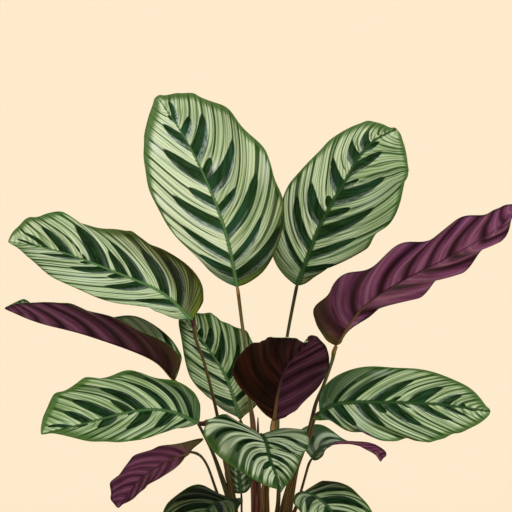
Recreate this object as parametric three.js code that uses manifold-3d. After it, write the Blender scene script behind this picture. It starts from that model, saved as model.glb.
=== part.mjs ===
// A peacock plant: fifteen patterned leaves and one rolled new leaf on long petioles, in four
// shoots, standing in soil in a plain tapered pot. Millimetres, +Z up. The origin is at the centre
// of the pot's underside, and the plant's broad side faces -Y.
import * as THREE from 'three';
import { mergeVertices } from 'three/addons/utils/BufferGeometryUtils.js';
import Module from 'manifold-3d';

const wasm = await Module();
wasm.setup();

// Driving dimensions
const POT = { height: 165, baseRadius: 66, topRadius: 88, wall: 3, floor: 4, chamfer: 1.5, segments: 36 };
const RIM = { radius: 95, height: 24, lip: 2, slope: 1 };
const DRAIN_HOLE = { count: 4, radius: 5, pitchRadius: 36, segments: 10 };
const SOIL = { top: 150, mound: 4, rings: 3 };
const CLEARANCE = 0.3; // between the soil and what it touches
const SEAT_GAP = 0.5; // between a petiole's end and its blade

// The crown that a shoot's petioles grow from. topShare narrows it upwards, and rootShare is the
// radius of a petiole inside it, both as shares of its radius.
const CROWN = { radius: 7, depth: 26, rise: 8, sides: 12, topShare: 0.8, rootShare: 0.7 };
// The pulvinus is the short joint below a blade, in line with the midrib, and narrows to its end.
const PETIOLE = { sides: 6, ringsPerPoint: 2, pulvinusLength: 7, pulvinusEndShare: 0.8 };

// The blade's grid. Each row of cells follows a pair of side veins, and columns are shares of the
// half width from the left edge to the right one.
const BLADE = { thickness: 0.8, rows: 18, columns: [-1, -0.74, -0.4, 0, 0.4, 0.74, 1], midribSamples: 240 };
// Side veins start further down the midrib than they end at the edge. The sweep's power grows from
// the base of the blade to its tip, and edgeBend is the share of the way that a vein makes up late.
const VEIN = { basePower: 1.3, powerGrowth: 2.5, edgeBend: 0.25 };
// The lobes beside the petiole: how far they reach back, as a share of the length, and how soon
// they fade towards the tip.
const LOBE = { reach: 0.018, fade: 0.07 };

const MERGE_DISTANCE = 1e-4;

// Colours and finishes
const FINISH = {
  blade: { color: 0x55793f, roughness: 0.45, metalness: 0 },
  purpleBlade: { color: 0x5b2f4d, roughness: 0.5, metalness: 0 },
  petiole: { color: 0x4f3a24, roughness: 0.5, metalness: 0 },
  soil: { color: 0x33261c, roughness: 0.95, metalness: 0 },
  pot: { color: 0xb56b4a, roughness: 0.8, metalness: 0 },
};

// Each leaf. midrib: points from the base of the blade to its tip. face: the way the upper face
// looks, in steps from base to tip. fold: how far each half is folded up from flat, in degrees,
// in steps from base to tip. half: half widths, in seven steps that lie closer near base and tip.
// lift: how far the edge stands up off that form, in the same steps. ripple: [height, waves, phase]
// of the small waves of the edge. Left and right are as seen on the upper face with the tip up.
// sweep: how far the side veins lean towards the tip, 1 unless stated.
const LEVEL_EDGE = [0, 0, 0, 0, 0, 0, 0];
const LEAVES = [
  {
    name: 'leaf_upper_left',
    midrib: [[-19, 20, 422], [-31, 22, 478], [-50, 35, 527], [-73, 58, 570], [-102, 90, 609]],
    face: [[0.1, -1, 0.35], [0.05, -1, 0.45]],
    left: { fold: [12], half: [6, 27, 52, 58, 51, 31, 10], ripple: [2, 4, 0] },
    right: {
      fold: [14],
      half: [19, 46, 66, 66, 53, 38, 15],
      lift: [0, 0, 0, -3, 4, -4, 0],
      ripple: [3, 5, 0.2],
    },
  },
  {
    name: 'leaf_upper_right',
    midrib: [[42, 40, 420], [66, 48, 482], [93, 60, 528], [105, 68, 548], [121, 80, 564], [145, 95, 575]],
    face: [[0, -1, 0.3], [0, -1, 0.6]],
    left: { fold: [12], half: [10, 35, 45, 45, 37, 24, 9], ripple: [1.5, 4, 0] },
    right: { fold: [12], half: [5, 24, 52, 63, 57, 47, 24], ripple: [4, 5, 0.2] },
  },
  {
    name: 'leaf_left_high',
    midrib: [[-64.5, -5, 392], [-93, -8, 419], [-133, -10, 438], [-196, -5, 461], [-248, 5, 470]],
    face: [[0.1, -0.6, 0.8], [-0.1, -0.7, 0.7]],
    left: { fold: [5, 10, 15], half: [3, 20, 35, 44, 40, 21, 5], ripple: [2, 4, 0] },
    right: {
      fold: [20, 20, 15],
      half: [24, 39, 44, 46, 38, 36, 20],
      lift: [0, -2, -5, -3, -10, 2, 3],
      ripple: [3, 5, 0.2],
    },
  },
  {
    name: 'leaf_left_purple',
    purple: true,
    midrib: [[-82, -8, 331], [-106, -10, 354], [-167, -10, 377], [-219, 0, 389], [-253, 10, 401]],
    face: [[0.1, -0.1, 1], [0, 0, 1]],
    left: { fold: [50], half: [8, 33, 38, 41, 39, 28, 10], ripple: [1.5, 5, 0] },
    right: { fold: [52, 26, 24], half: [10, 30, 42, 34, 30, 22, 16], ripple: [3, 5, 0.2] },
  },
  {
    name: 'leaf_left_low',
    midrib: [[-56, -70, 300], [-86, -78, 314], [-119, -90, 316], [-168, -102, 306], [-207, -110, 298]],
    face: [[0.1, -0.6, 0.8], [-0.1, -0.6, 0.8]],
    left: { fold: [0, 8, 10], half: [3, 15, 30, 41, 31, 13, 2], ripple: [2, 4, 0] },
    right: { fold: [10], half: [20, 33, 39, 46, 46, 39, 16], ripple: [3.5, 5, 0.2] },
  },
  {
    name: 'leaf_left_drooping',
    purple: true,
    midrib: [[-66, -10, 258], [-94, 5, 243], [-120, 22, 221], [-142, 35, 189]],
    face: [[-0.3, 1, 0.4], [-0.5, 1, 0.2]],
    left: { fold: [15], half: [3, 12, 18, 23, 20, 17, 7], ripple: [1.5, 3, 0] },
    right: { fold: [15], half: [2, 6, 20, 18, 17, 13, 3], ripple: [2, 3, 0.2] },
  },
  {
    name: 'leaf_centre_back',
    midrib: [[-16, 5, 288], [-30, 10, 330], [-51, 18, 362], [-76, 30, 392]],
    face: [[0.1, -1, 0.3]],
    left: { fold: [10], half: [1, 12, 28, 32, 25, 15, 7], ripple: [1.5, 3, 0] },
    right: { fold: [10], half: [5, 24, 33, 41, 33, 23, 10], ripple: [2, 4, 0.2] },
  },
  {
    name: 'leaf_centre_purple',
    purple: true,
    midrib: [[18, -20, 293], [23, -35, 328], [32, -60, 357], [50, -100, 384]],
    face: [[0, 1, 0.5]],
    left: { fold: [10], half: [5, 23, 40, 44, 37, 29, 20], ripple: [1.5, 3, 0] },
    right: { fold: [10], half: [3, 21, 48, 48, 39, 29, 14], ripple: [2, 4, 0.2] },
  },
  {
    name: 'leaf_right_purple',
    purple: true,
    midrib: [
      [81, 10, 363], [106, -2, 403], [144, -18, 433], [188, -30, 458], [236, -38, 488],
      [257, -40, 512],
    ],
    face: [[-0.3, 0.8, 0.8]],
    sweep: 0.8,
    left: { fold: [10], half: [2, 10, 33, 44, 37, 22, 9], ripple: [4.5, 6.27, 0.03] },
    right: { fold: [10], half: [16, 46, 43, 43, 37, 29, 13], ripple: [6, 5.9, 0.22] },
  },
  {
    name: 'leaf_right_mid',
    midrib: [[63, -45, 306], [84, -55, 317], [131, -70, 321], [178, -75, 320], [229, -75, 313]],
    face: [[-0.1, -0.6, 0.8]],
    left: { fold: [12], half: [18, 34, 41, 39, 35, 25, 9], ripple: [1.5, 4, 0] },
    right: { fold: [-5], half: [8, 24, 37, 44, 44, 28, 11], ripple: [4, 5, 0.2] },
  },
  {
    name: 'leaf_front',
    midrib: [[5, -75, 290], [10, -108, 288], [13, -140, 281], [19, -158, 269], [23, -166, 254]],
    face: [[0.25, -0.2, 1], [0.1, -0.9, 0.5]],
    left: { fold: [30, 10], half: [18, 32, 40, 41, 36, 23, 8], ripple: [1.5, 3, 0] },
    right: { fold: [22, 10], half: [26, 46, 62, 66, 46, 28, 10], ripple: [2, 4, 0.2] },
  },
  {
    name: 'leaf_right_small',
    midrib: [[57, 18, 245], [69, 16, 259], [90, 12, 267], [116, 6, 261], [135, 2, 256]],
    face: [[-0.4, -0.8, 0.4], [0.1, 0.3, 1], [0, 0.8, 0.6]],
    left: { fold: [10], half: [22, 31, 28, 20, 14, 10, 5], ripple: [1, 3, 0] },
    right: { fold: [10], half: [5, 9, 12, 14, 14, 12, 6], ripple: [1, 3, 0.2] },
  },
  {
    name: 'leaf_front_left',
    midrib: [[-24, -35, 214], [-40, -62, 218], [-52, -90, 210], [-60, -112, 189], [-66, -125, 156]],
    face: [[-0.1, -0.3, 1], [-0.4, -0.8, 0.4]],
    left: { fold: [20, 10], half: [4, 18, 34, 40, 38, 28, 12], ripple: [1.5, 3, 0] },
    right: { fold: [20, 10], half: [15, 29, 36, 39, 36, 27, 12], ripple: [2, 4, 0.2] },
  },
  {
    name: 'leaf_front_right',
    midrib: [[47, -45, 225], [61, -68, 224], [75, -92, 215], [86, -112, 194], [93, -124, 165]],
    face: [[0.1, -0.3, 1], [0.4, -0.8, 0.4]],
    left: { fold: [20, 10], half: [20, 29, 33, 37, 35, 26, 11], ripple: [1.5, 3, 0] },
    right: { fold: [20, 10], half: [4, 16, 36, 42, 39, 29, 13], ripple: [2, 4, 0.2] },
  },
  {
    name: 'leaf_young',
    midrib: [[-15, -4, 214], [-15, -6, 232], [-12, -10, 249], [-8, -15, 268]],
    face: [[0.1, -1, 0.3]],
    left: { fold: [25], half: [4, 8, 11, 13, 12, 9, 4], ripple: [0.5, 2, 0] },
    right: { fold: [25], half: [4, 8, 11, 13, 12, 9, 4], ripple: [0.5, 2, 0.3] },
  },
];

// The rolled new leaf, from its foot to its tip: [x, y, z, radius]
const ROLLED_LEAF = [[2, -5, 262, 1.3], [2, -5.5, 275, 1.2], [2, -6, 285, 0.9], [2, -6, 293, 0.4]];

// Each shoot: where its crown stands in the soil, and its petioles, each from the blade that it
// carries down to the crown as [x, y, z, radius]. endRadius is the pulvinus right below the blade.
const SHOOTS = [
  {
    name: 'shoot_left',
    foot: [-18, -11],
    petioles: [
      {
        leaf: 'leaf_left_high',
        endRadius: 2.4,
        path: [
          [-59.5, -9, 374, 1.7], [-51.5, -10, 352, 1.6], [-44, -11, 322, 1.7], [-38.5, -13, 294, 1.8],
          [-32, -16, 254, 2], [-27, -17, 231, 3], [-23, -16, 205, 4],
        ],
      },
      {
        leaf: 'leaf_left_purple',
        endRadius: 2.2,
        path: [
          [-72, -11, 312, 1.5], [-57, -14, 286, 1.6], [-43, -16, 261, 1.8], [-34, -18, 236, 2.5],
          [-26, -17, 205, 3.5],
        ],
      },
      {
        leaf: 'leaf_left_low',
        endRadius: 2.6,
        path: [[-47, -60, 300, 1.8], [-40, -44, 288, 1.6], [-32, -26, 257, 1.8], [-26, -19, 226, 2.5]],
      },
      {
        leaf: 'leaf_left_drooping',
        endRadius: 1.6,
        path: [[-54, -14, 254, 1.3], [-47, -16, 243, 1.3], [-40, -17, 223, 1.4], [-30, -15, 189, 2]],
      },
      {
        leaf: 'leaf_front_left',
        endRadius: 2.2,
        path: [[-19, -28, 197, 1.8], [-16, -20, 175, 2.2]],
      },
    ],
  },
  {
    name: 'shoot_centre',
    foot: [0, 6],
    petioles: [
      {
        leaf: 'leaf_upper_left',
        endRadius: 1.8,
        path: [
          [-15, 14, 389, 1.6], [-10, 2, 359, 1.8], [-6, -3, 307, 2], [-3, 0, 278, 2.4],
          [0, 4, 205, 5],
        ],
      },
      {
        leaf: 'leaf_centre_back',
        endRadius: 1.8,
        path: [[-10, 5, 267, 1.6], [-4, 5, 226, 2], [-1, 5, 174, 4]],
      },
      {
        leaf: 'leaf_young',
        endRadius: 1.1,
        path: [[-14, 0, 188, 1.1], [-8, 5, 165, 1.6]],
      },
      {
        leaf: 'leaf_rolled',
        endRadius: 1.2,
        path: [[1, -1, 227, 1.4], [0, 3, 174, 3]],
      },
    ],
  },
  {
    name: 'shoot_centre_right',
    foot: [12, -9],
    petioles: [
      {
        leaf: 'leaf_centre_purple',
        endRadius: 3.4,
        path: [[16, -19, 278, 3.5], [13, -16, 241, 3.8], [10, -12, 197, 4.2]],
      },
      {
        leaf: 'leaf_front',
        endRadius: 2.4,
        path: [[7, -62, 270, 2], [10, -42, 237, 2.2], [11, -22, 196, 3]],
      },
      {
        leaf: 'leaf_upper_right',
        endRadius: 1.8,
        path: [[32, 35, 367, 1.5], [24, 26, 314, 1.6], [21, 16, 265, 1.7], [21, 4, 200, 1.9]],
      },
    ],
  },
  {
    name: 'shoot_right',
    foot: [26, 4],
    petioles: [
      {
        leaf: 'leaf_right_purple',
        endRadius: 2.4,
        path: [
          [77, 10, 347, 1.8], [69, 8, 323, 1.8], [61, 4, 304, 1.9], [54, 0, 275, 2.6],
          [42, -3, 233, 4.2], [30, -2, 194, 5],
        ],
      },
      {
        leaf: 'leaf_right_mid',
        endRadius: 2,
        path: [[57, -28, 292, 1.7], [53, -12, 271, 2], [44, -5, 238, 3]],
      },
      {
        leaf: 'leaf_right_small',
        endRadius: 1.4,
        path: [[50, 14, 229, 1.3], [44, 10, 210, 1.4], [33, 5, 174, 2]],
      },
      {
        leaf: 'leaf_front_right',
        endRadius: 2,
        path: [[41, -34, 209, 1.8], [31, -16, 179, 2.4]],
      },
    ],
  },
];

// ---- Small helpers ----

function material(name, { color, roughness, metalness }) {
  return new THREE.MeshStandardMaterial({ name, color, roughness, metalness });
}

function node(name, geometry, finish) {
  const mesh = new THREE.Mesh(geometry, material(`${name}_finish`, finish));
  mesh.name = name;
  return mesh;
}

function indexedGeometry(points, triangles) {
  const geometry = new THREE.BufferGeometry();
  const numbers = points.flatMap((p) => [p.x, p.y, p.z]);
  geometry.setAttribute('position', new THREE.Float32BufferAttribute(numbers, 3));
  geometry.setIndex(triangles.flat());
  return geometry;
}

function toSolid(geometry) {
  const bare = geometry.clone();
  bare.deleteAttribute('normal');
  bare.deleteAttribute('uv');
  const merged = mergeVertices(bare, MERGE_DISTANCE);
  const vertProperties = new Float32Array(merged.attributes.position.array);
  const triVerts = new Uint32Array(merged.index.array);
  return new wasm.Manifold(new wasm.Mesh({ numProp: 3, vertProperties, triVerts }));
}

function fromSolid(solid) {
  const { vertProperties, triVerts } = solid.getMesh();
  const geometry = new THREE.BufferGeometry();
  geometry.setAttribute('position', new THREE.BufferAttribute(new Float32Array(vertProperties), 3));
  geometry.setIndex(new THREE.BufferAttribute(new Uint32Array(triVerts), 1));
  return geometry;
}

function upright(geometry, x, y, z) {
  return geometry.rotateX(Math.PI / 2).translate(x, y, z);
}

// Values given in even steps, blended smoothly at t from 0 to 1
function blend(values, t) {
  const last = values.length - 1;
  const place = Math.min(Math.max(t, 0), 1) * last;
  const index = Math.min(Math.floor(place), Math.max(last - 1, 0));
  const share = THREE.MathUtils.smoothstep(place - index, 0, 1);
  const next = values[Math.min(index + 1, last)];
  return values[index] + (next - values[index]) * share;
}

// A smooth curve through values given in even steps, at t from 0 to 1
function smoothThrough(values, t) {
  const last = values.length - 1;
  const place = Math.min(Math.max(t, 0), 1) * last;
  const index = Math.min(Math.floor(place), last - 1);
  const share = place - index;
  const at = (k) => {
    if (k < 0) return 2 * values[0] - values[1];
    if (k > last) return 2 * values[last] - values[last - 1];
    return values[k];
  };
  const [a, b, c, d] = [at(index - 1), at(index), at(index + 1), at(index + 2)];
  const leave = (c - a) / 2;
  const arrive = (d - b) / 2;
  const cubic = 2 * b - 2 * c + leave + arrive;
  const square = -3 * b + 3 * c - 2 * leave - arrive;
  return ((cubic * share + square) * share + leave) * share + b;
}

function curveThrough(points) {
  const vectors = points.map(([x, y, z]) => new THREE.Vector3(x, y, z));
  return new THREE.CatmullRomCurve3(vectors, false, 'catmullrom', 0.5);
}

// ---- Blades ----

function midribOf(leaf) {
  const points = curveThrough(leaf.midrib).getPoints(BLADE.midribSamples - 1);
  const along = [0];
  for (let i = 1; i < points.length; i += 1) {
    along.push(along[i - 1] + points[i].distanceTo(points[i - 1]));
  }
  const length = along[along.length - 1];
  const directionAt = (i) => {
    const before = points[Math.max(i - 1, 0)];
    const after = points[Math.min(i + 1, points.length - 1)];
    return after.clone().sub(before).normalize();
  };
  const directions = points.map((_, i) => directionAt(i));
  // The point and direction at a distance from the base
  const at = (distance) => {
    const inside = Math.min(Math.max(distance, 0), length);
    let i = 0;
    while (i < along.length - 2 && along[i + 1] < inside) i += 1;
    const share = (inside - along[i]) / (along[i + 1] - along[i]);
    const direction = directions[i].clone().lerp(directions[i + 1], share).normalize();
    const point = points[i].clone().lerp(points[i + 1], share);
    point.addScaledVector(direction, distance - inside);
    return { point, direction };
  };
  return { length, at };
}

// A point of the blade's middle surface. turn runs from 0 at the base to 1 at the tip and counts
// side veins; across runs from -1 at the left edge over 0 on the midrib to 1 at the right edge.
function bladePoint(leaf, midrib, turn, across) {
  const half = across < 0 ? leaf.left : leaf.right;
  const side = across < 0 ? -1 : 1;
  const out = Math.abs(across);
  const reach = 0.5 - 0.5 * Math.cos(Math.PI * turn);
  const sweep = leaf.sweep ?? 1;
  const swept = reach ** (VEIN.basePower + VEIN.powerGrowth * reach);
  const veinStart = midrib.length * (reach - sweep * (reach - swept));
  const lobe = LOBE.reach * (reach / LOBE.fade) * Math.exp(1 - reach / LOBE.fade);
  const veinEnd = midrib.length * (reach - lobe);
  const alongVein = (1 - VEIN.edgeBend) * out + VEIN.edgeBend * out ** 3;
  const along = veinStart + (veinEnd - veinStart) * alongVein;
  const distance = out * smoothThrough([0, ...half.half, 0], turn);
  const share = Math.min(Math.max(along / midrib.length, 0), 1);
  const { point, direction } = midrib.at(along);
  const facing = [0, 1, 2].map((axis) => blend(leaf.face.map((step) => step[axis]), share));
  const look = new THREE.Vector3(...facing);
  const normal = look.addScaledVector(direction, -look.dot(direction)).normalize();
  const sideways = direction.clone().cross(normal).multiplyScalar(side);
  const fold = THREE.MathUtils.degToRad(blend(half.fold, share));
  const [height, waves, phase] = half.ripple;
  const lift = smoothThrough([0, ...(half.lift ?? LEVEL_EDGE), 0], turn);
  const wave = height * Math.sin(2 * Math.PI * (waves * turn + phase)) * Math.sin(Math.PI * turn);
  const rise = (lift + wave) * out ** 2;
  point.addScaledVector(sideways, distance * Math.cos(fold) - rise * Math.sin(fold));
  point.addScaledVector(normal, distance * Math.sin(fold) + rise * Math.cos(fold));
  return point;
}

function bladeGeometry(leaf) {
  const midrib = midribOf(leaf);
  const { rows, thickness } = BLADE;
  const columns = BLADE.columns.length;
  const middle = [bladePoint(leaf, midrib, 0, 0)];
  for (let row = 1; row < rows; row += 1) {
    for (const across of BLADE.columns) middle.push(bladePoint(leaf, midrib, row / rows, across));
  }
  middle.push(bladePoint(leaf, midrib, 1, 0));
  const tip = middle.length - 1;
  const at = (row, column) => 1 + (row - 1) * columns + column;
  const face = [];
  for (let column = 0; column < columns - 1; column += 1) {
    face.push([0, at(1, column + 1), at(1, column)]);
    face.push([tip, at(rows - 1, column), at(rows - 1, column + 1)]);
  }
  for (let row = 1; row < rows - 1; row += 1) {
    for (let column = 0; column < columns - 1; column += 1) {
      const [a, b] = [at(row, column), at(row, column + 1)];
      const [c, d] = [at(row + 1, column + 1), at(row + 1, column)];
      // The diagonal leans the same way on either half, away from the midrib towards the tip
      if (column < (columns - 1) / 2) face.push([a, b, d], [b, c, d]);
      else face.push([a, b, c], [a, c, d]);
    }
  }
  const surface = indexedGeometry(middle, face);
  surface.computeVertexNormals();
  const { normal } = surface.attributes;
  const normals = middle.map((_, i) => new THREE.Vector3().fromBufferAttribute(normal, i));
  const offset = (distance) => middle.map((p, i) => p.clone().addScaledVector(normals[i], distance));
  const points = [...offset(thickness / 2), ...offset(-thickness / 2)];
  const under = middle.length;
  const triangles = [...face, ...face.map(([a, b, c]) => [a + under, c + under, b + under])];
  const inner = Array.from({ length: rows - 1 }, (_, i) => i + 1);
  const rightEdge = [0, ...inner.map((row) => at(row, columns - 1)), tip];
  const leftEdge = [tip, ...inner.map((row) => at(rows - row, 0)), 0];
  for (const edge of [rightEdge, leftEdge]) {
    for (let i = 0; i < edge.length - 1; i += 1) {
      const [a, b] = [edge[i], edge[i + 1]];
      triangles.push([a, a + under, b + under], [a, b + under, b]);
    }
  }
  return indexedGeometry(points, triangles);
}

// ---- Petioles ----

// A closed round tube of changing radius through [x, y, z, radius] points
function taperedTube(path) {
  const { sides } = PETIOLE;
  const curve = curveThrough(path);
  const rings = (path.length - 1) * PETIOLE.ringsPerPoint;
  const frames = curve.computeFrenetFrames(rings, false);
  const points = [];
  for (let ring = 0; ring <= rings; ring += 1) {
    const t = ring / rings;
    const u = t * (path.length - 1);
    const index = Math.min(Math.floor(u), path.length - 2);
    const radius = THREE.MathUtils.lerp(path[index][3], path[index + 1][3], u - index);
    const centre = curve.getPoint(t);
    const tangent = curve.getTangent(t);
    const across = frames.normals[ring].clone();
    across.addScaledVector(tangent, -across.dot(tangent)).normalize();
    const other = tangent.clone().cross(across);
    for (let side = 0; side < sides; side += 1) {
      const angle = (2 * Math.PI * side) / sides;
      const spoke = across.clone().multiplyScalar(radius * Math.cos(angle));
      points.push(centre.clone().add(spoke).addScaledVector(other, radius * Math.sin(angle)));
    }
  }
  const triangles = [];
  for (let side = 1; side < sides - 1; side += 1) {
    triangles.push([0, side + 1, side]);
    triangles.push([rings * sides, rings * sides + side, rings * sides + side + 1]);
  }
  for (let ring = 0; ring < rings; ring += 1) {
    for (let side = 0; side < sides; side += 1) {
      const next = (side + 1) % sides;
      const [a, b] = [ring * sides + side, ring * sides + next];
      const [c, d] = [b + sides, a + sides];
      triangles.push([a, b, c], [a, c, d]);
    }
  }
  return indexedGeometry(points, triangles);
}

function seatOf(leafName) {
  if (leafName === 'leaf_rolled') {
    const [x, y, z] = ROLLED_LEAF[0];
    return { point: new THREE.Vector3(x, y, z), direction: new THREE.Vector3(0, 0, 1) };
  }
  return midribOf(LEAVES.find((leaf) => leaf.name === leafName)).at(0);
}

function petioleSolid({ leaf, endRadius, path }, foot) {
  const { point, direction } = seatOf(leaf);
  const end = point.clone().addScaledVector(direction, -SEAT_GAP);
  const joint = end.clone().addScaledVector(direction, -PETIOLE.pulvinusLength);
  const root = [foot[0], foot[1], SOIL.top - CLEARANCE, CROWN.radius * CROWN.rootShare];
  const top = [...end.toArray(), endRadius * PETIOLE.pulvinusEndShare];
  return toSolid(taperedTube([top, [...joint.toArray(), endRadius], ...path, root]));
}

function crownSolid([x, y]) {
  const height = CROWN.depth + CROWN.rise;
  const topRadius = CROWN.radius * CROWN.topShare;
  const cylinder = new THREE.CylinderGeometry(topRadius, CROWN.radius, height, CROWN.sides);
  return toSolid(upright(cylinder, x, y, SOIL.top - CROWN.depth + height / 2));
}

function shootGeometry({ foot, petioles }) {
  const parts = petioles.map((petiole) => petioleSolid(petiole, foot));
  return fromSolid(parts.reduce((whole, part) => whole.add(part), crownSolid(foot)));
}

// ---- Pot and soil ----

function innerRadius(height) {
  const share = height / POT.height;
  return THREE.MathUtils.lerp(POT.baseRadius, POT.topRadius, share) - POT.wall;
}

function potGeometry() {
  const rimBottom = POT.height - RIM.height;
  const wallAtRim = THREE.MathUtils.lerp(POT.baseRadius, POT.topRadius, rimBottom / POT.height);
  const profile = [
    [0, 0],
    [POT.baseRadius - POT.chamfer, 0],
    [POT.baseRadius, POT.chamfer],
    [wallAtRim, rimBottom],
    [RIM.radius - RIM.lip, rimBottom + RIM.slope],
    [RIM.radius, POT.height - RIM.lip],
    [RIM.radius - RIM.lip, POT.height],
    [innerRadius(POT.height), POT.height],
    [innerRadius(POT.floor), POT.floor],
    [0, POT.floor],
  ].map(([radius, z]) => new THREE.Vector2(radius, z));
  let solid = toSolid(new THREE.LatheGeometry(profile, POT.segments).rotateX(Math.PI / 2));
  const { radius, segments } = DRAIN_HOLE;
  for (let i = 0; i < DRAIN_HOLE.count; i += 1) {
    const angle = (2 * Math.PI * (i + 0.5)) / DRAIN_HOLE.count;
    const x = DRAIN_HOLE.pitchRadius * Math.cos(angle);
    const y = DRAIN_HOLE.pitchRadius * Math.sin(angle);
    const drill = new THREE.CylinderGeometry(radius, radius, 2 * POT.height, segments);
    solid = solid.subtract(toSolid(upright(drill, x, y, 0)));
  }
  return fromSolid(solid);
}

function soilGeometry() {
  const floor = POT.floor + CLEARANCE;
  const edge = innerRadius(SOIL.top - SOIL.mound) - CLEARANCE;
  const profile = [[0, floor], [innerRadius(floor) - CLEARANCE, floor]];
  for (let i = 0; i <= SOIL.rings; i += 1) {
    const share = i / SOIL.rings;
    const mound = SOIL.mound * Math.sin(Math.PI * 0.5 * share) ** 2;
    profile.push([edge * (1 - share), SOIL.top - SOIL.mound + mound]);
  }
  const outline = profile.map(([radius, z]) => new THREE.Vector2(radius, z));
  let solid = toSolid(new THREE.LatheGeometry(outline, POT.segments).rotateX(Math.PI / 2));
  for (const { foot } of SHOOTS) {
    const radius = CROWN.radius + CLEARANCE;
    const depth = CROWN.depth + CLEARANCE;
    const hole = new THREE.CylinderGeometry(radius, radius, 2 * depth, 2 * CROWN.sides);
    solid = solid.subtract(toSolid(upright(hole, foot[0], foot[1], SOIL.top)));
  }
  return fromSolid(solid);
}

// ---- The plant ----

const plant = new THREE.Group();
for (const leaf of LEAVES) {
  const finish = leaf.purple ? FINISH.purpleBlade : FINISH.blade;
  plant.add(node(leaf.name, bladeGeometry(leaf), finish));
}
plant.add(node('leaf_rolled', taperedTube(ROLLED_LEAF), FINISH.blade));
for (const shoot of SHOOTS) plant.add(node(shoot.name, shootGeometry(shoot), FINISH.petiole));
plant.add(node('soil', soilGeometry(), FINISH.soil));
plant.add(node('pot', potGeometry(), FINISH.pot));

export default plant;
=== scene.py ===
"""A peacock plant in a plain pot, with its feathered leaves, stems and soil finished for show.

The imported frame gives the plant's place and size. Leaves and stems repeat the frame's driving
dimensions, in millimetres, and are made again here with finer surfaces and with their markings.
"""

import math
import random
from dataclasses import dataclass

import bpy
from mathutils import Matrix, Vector, noise


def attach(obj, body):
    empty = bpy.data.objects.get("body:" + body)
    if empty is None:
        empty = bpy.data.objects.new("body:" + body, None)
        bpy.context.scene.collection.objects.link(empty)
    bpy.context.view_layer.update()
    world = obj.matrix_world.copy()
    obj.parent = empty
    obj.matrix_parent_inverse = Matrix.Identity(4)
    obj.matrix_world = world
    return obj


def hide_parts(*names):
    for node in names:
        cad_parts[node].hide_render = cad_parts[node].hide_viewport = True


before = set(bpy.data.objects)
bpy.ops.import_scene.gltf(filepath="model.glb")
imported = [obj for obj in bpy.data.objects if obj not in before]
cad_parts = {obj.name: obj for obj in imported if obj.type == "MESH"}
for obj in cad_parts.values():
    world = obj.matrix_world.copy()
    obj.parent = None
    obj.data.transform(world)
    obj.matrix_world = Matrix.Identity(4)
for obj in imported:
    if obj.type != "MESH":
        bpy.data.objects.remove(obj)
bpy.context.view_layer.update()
bpy.ops.object.select_all(action="DESELECT")

MM = 0.001
BODY = "root"

# ---- The plant's driving dimensions, in millimetres ----

POT_HEIGHT = 165
POT_BASE_RADIUS = 66
POT_TOP_RADIUS = 88
POT_WALL = 3
POT_FLOOR = 4
DRAIN_HOLES = 4
DRAIN_RADIUS = 5
DRAIN_PITCH_RADIUS = 36
HARD_EDGE = math.radians(50)  # the pot keeps edges sharper than this
RIM_RADIUS = 95
RIM_HEIGHT = 24
SOIL_TOP = 150
SOIL_MOUND = 4
SOIL_GAP = 0.3
SOIL_LUMPS = 1.3
SOIL_LUMP_FINENESS = 0.11
CHIP_SHOOT_GAP = 5
CHIP_WALL_GAP = 4
CHIP_BREADTH = 0.65  # of a chip's length
CHIP_JITTER = 0.25
CHIP_LEAN = 0.4
SCATTER_SEED = 7
CROWN_RADIUS = 7
CROWN_DEPTH = 26
CROWN_RISE = 8
CROWN_ROOT_SHARE = 0.7
ROOT_DEPTH = 2  # how far below the soil's top the stems meet
PULVINUS_LENGTH = 7
PULVINUS_END_SHARE = 0.8
PULVINUS_LEAN = 0.3  # how much of the midrib's direction the stem keeps right below the blade
PULVINUS_FADE = (0.8, 0.5)  # where its colour starts to fade and how soon it is gone, in its lengths
END_CAP = 0.02  # the share of a stem's or midrib's length that its rounded end takes up

BLADE_THICKNESS = 0.5
BLADE_ROWS = 150
BLADE_COLUMNS = 44
MIDRIB_SAMPLES = 240
MIDRIB_TIP_RADIUS = 0.35
RIB_NARROWING = 0.6  # the power by which the midrib thins towards the tip
RIB_BREADTH = 0.9  # how broad the midrib is below, as a share of its radius
RIB_DEPTH = 0.75  # how far the midrib stands out below, as a share of its radius
RIB_TOP = 0.1  # how high its hidden upper side rises
RIB_TAPER = 0.75  # how much narrower its line on the upper face is at the tip
RIB_LEAST_RADIUS = 0.3
FACE_RELIEF = 0.8 * MM  # how deep the shading of a face makes its folds look

# Side veins start further down the midrib than they end at the edge. The sweep's power grows from
# the base of the blade to its tip, and the bend is the share of the way that a vein makes up late.
VEIN_BASE_POWER = 1.3
VEIN_POWER_GROWTH = 2.5
VEIN_EDGE_BEND = 0.45
BUMP_FADE = 8  # bumps fade out within one eighth of the blade at both ends
PLEAT_FADES = (6, 5)  # pleats fade out within one sixth of it at the base and one fifth at the tip
LEAST_CURL = 0.02  # in radians; where an edge would bend less than this, it stays flat
VEIN_SHIFT = 400  # keeps the vein lines of one leaf from repeating on the next
VEIN_SPACING = 4.4  # between the fine lines of the upper face, measured along the midrib

# From one feather to the next, as shares of the blade's length
LEAST_FEATHER_GAP = 1e-4
BASE_FEATHER_GAP = 0.03
TIP_FEATHER_GAP = 0.1
FAR_FROM_FEATHER = 4  # in half widths of the feather
FLUSH_AT_MIDRIB = 0.35  # how far up the olive flush reaches there, as a share of its reach at the edge

PERCENT = 0.01


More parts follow.
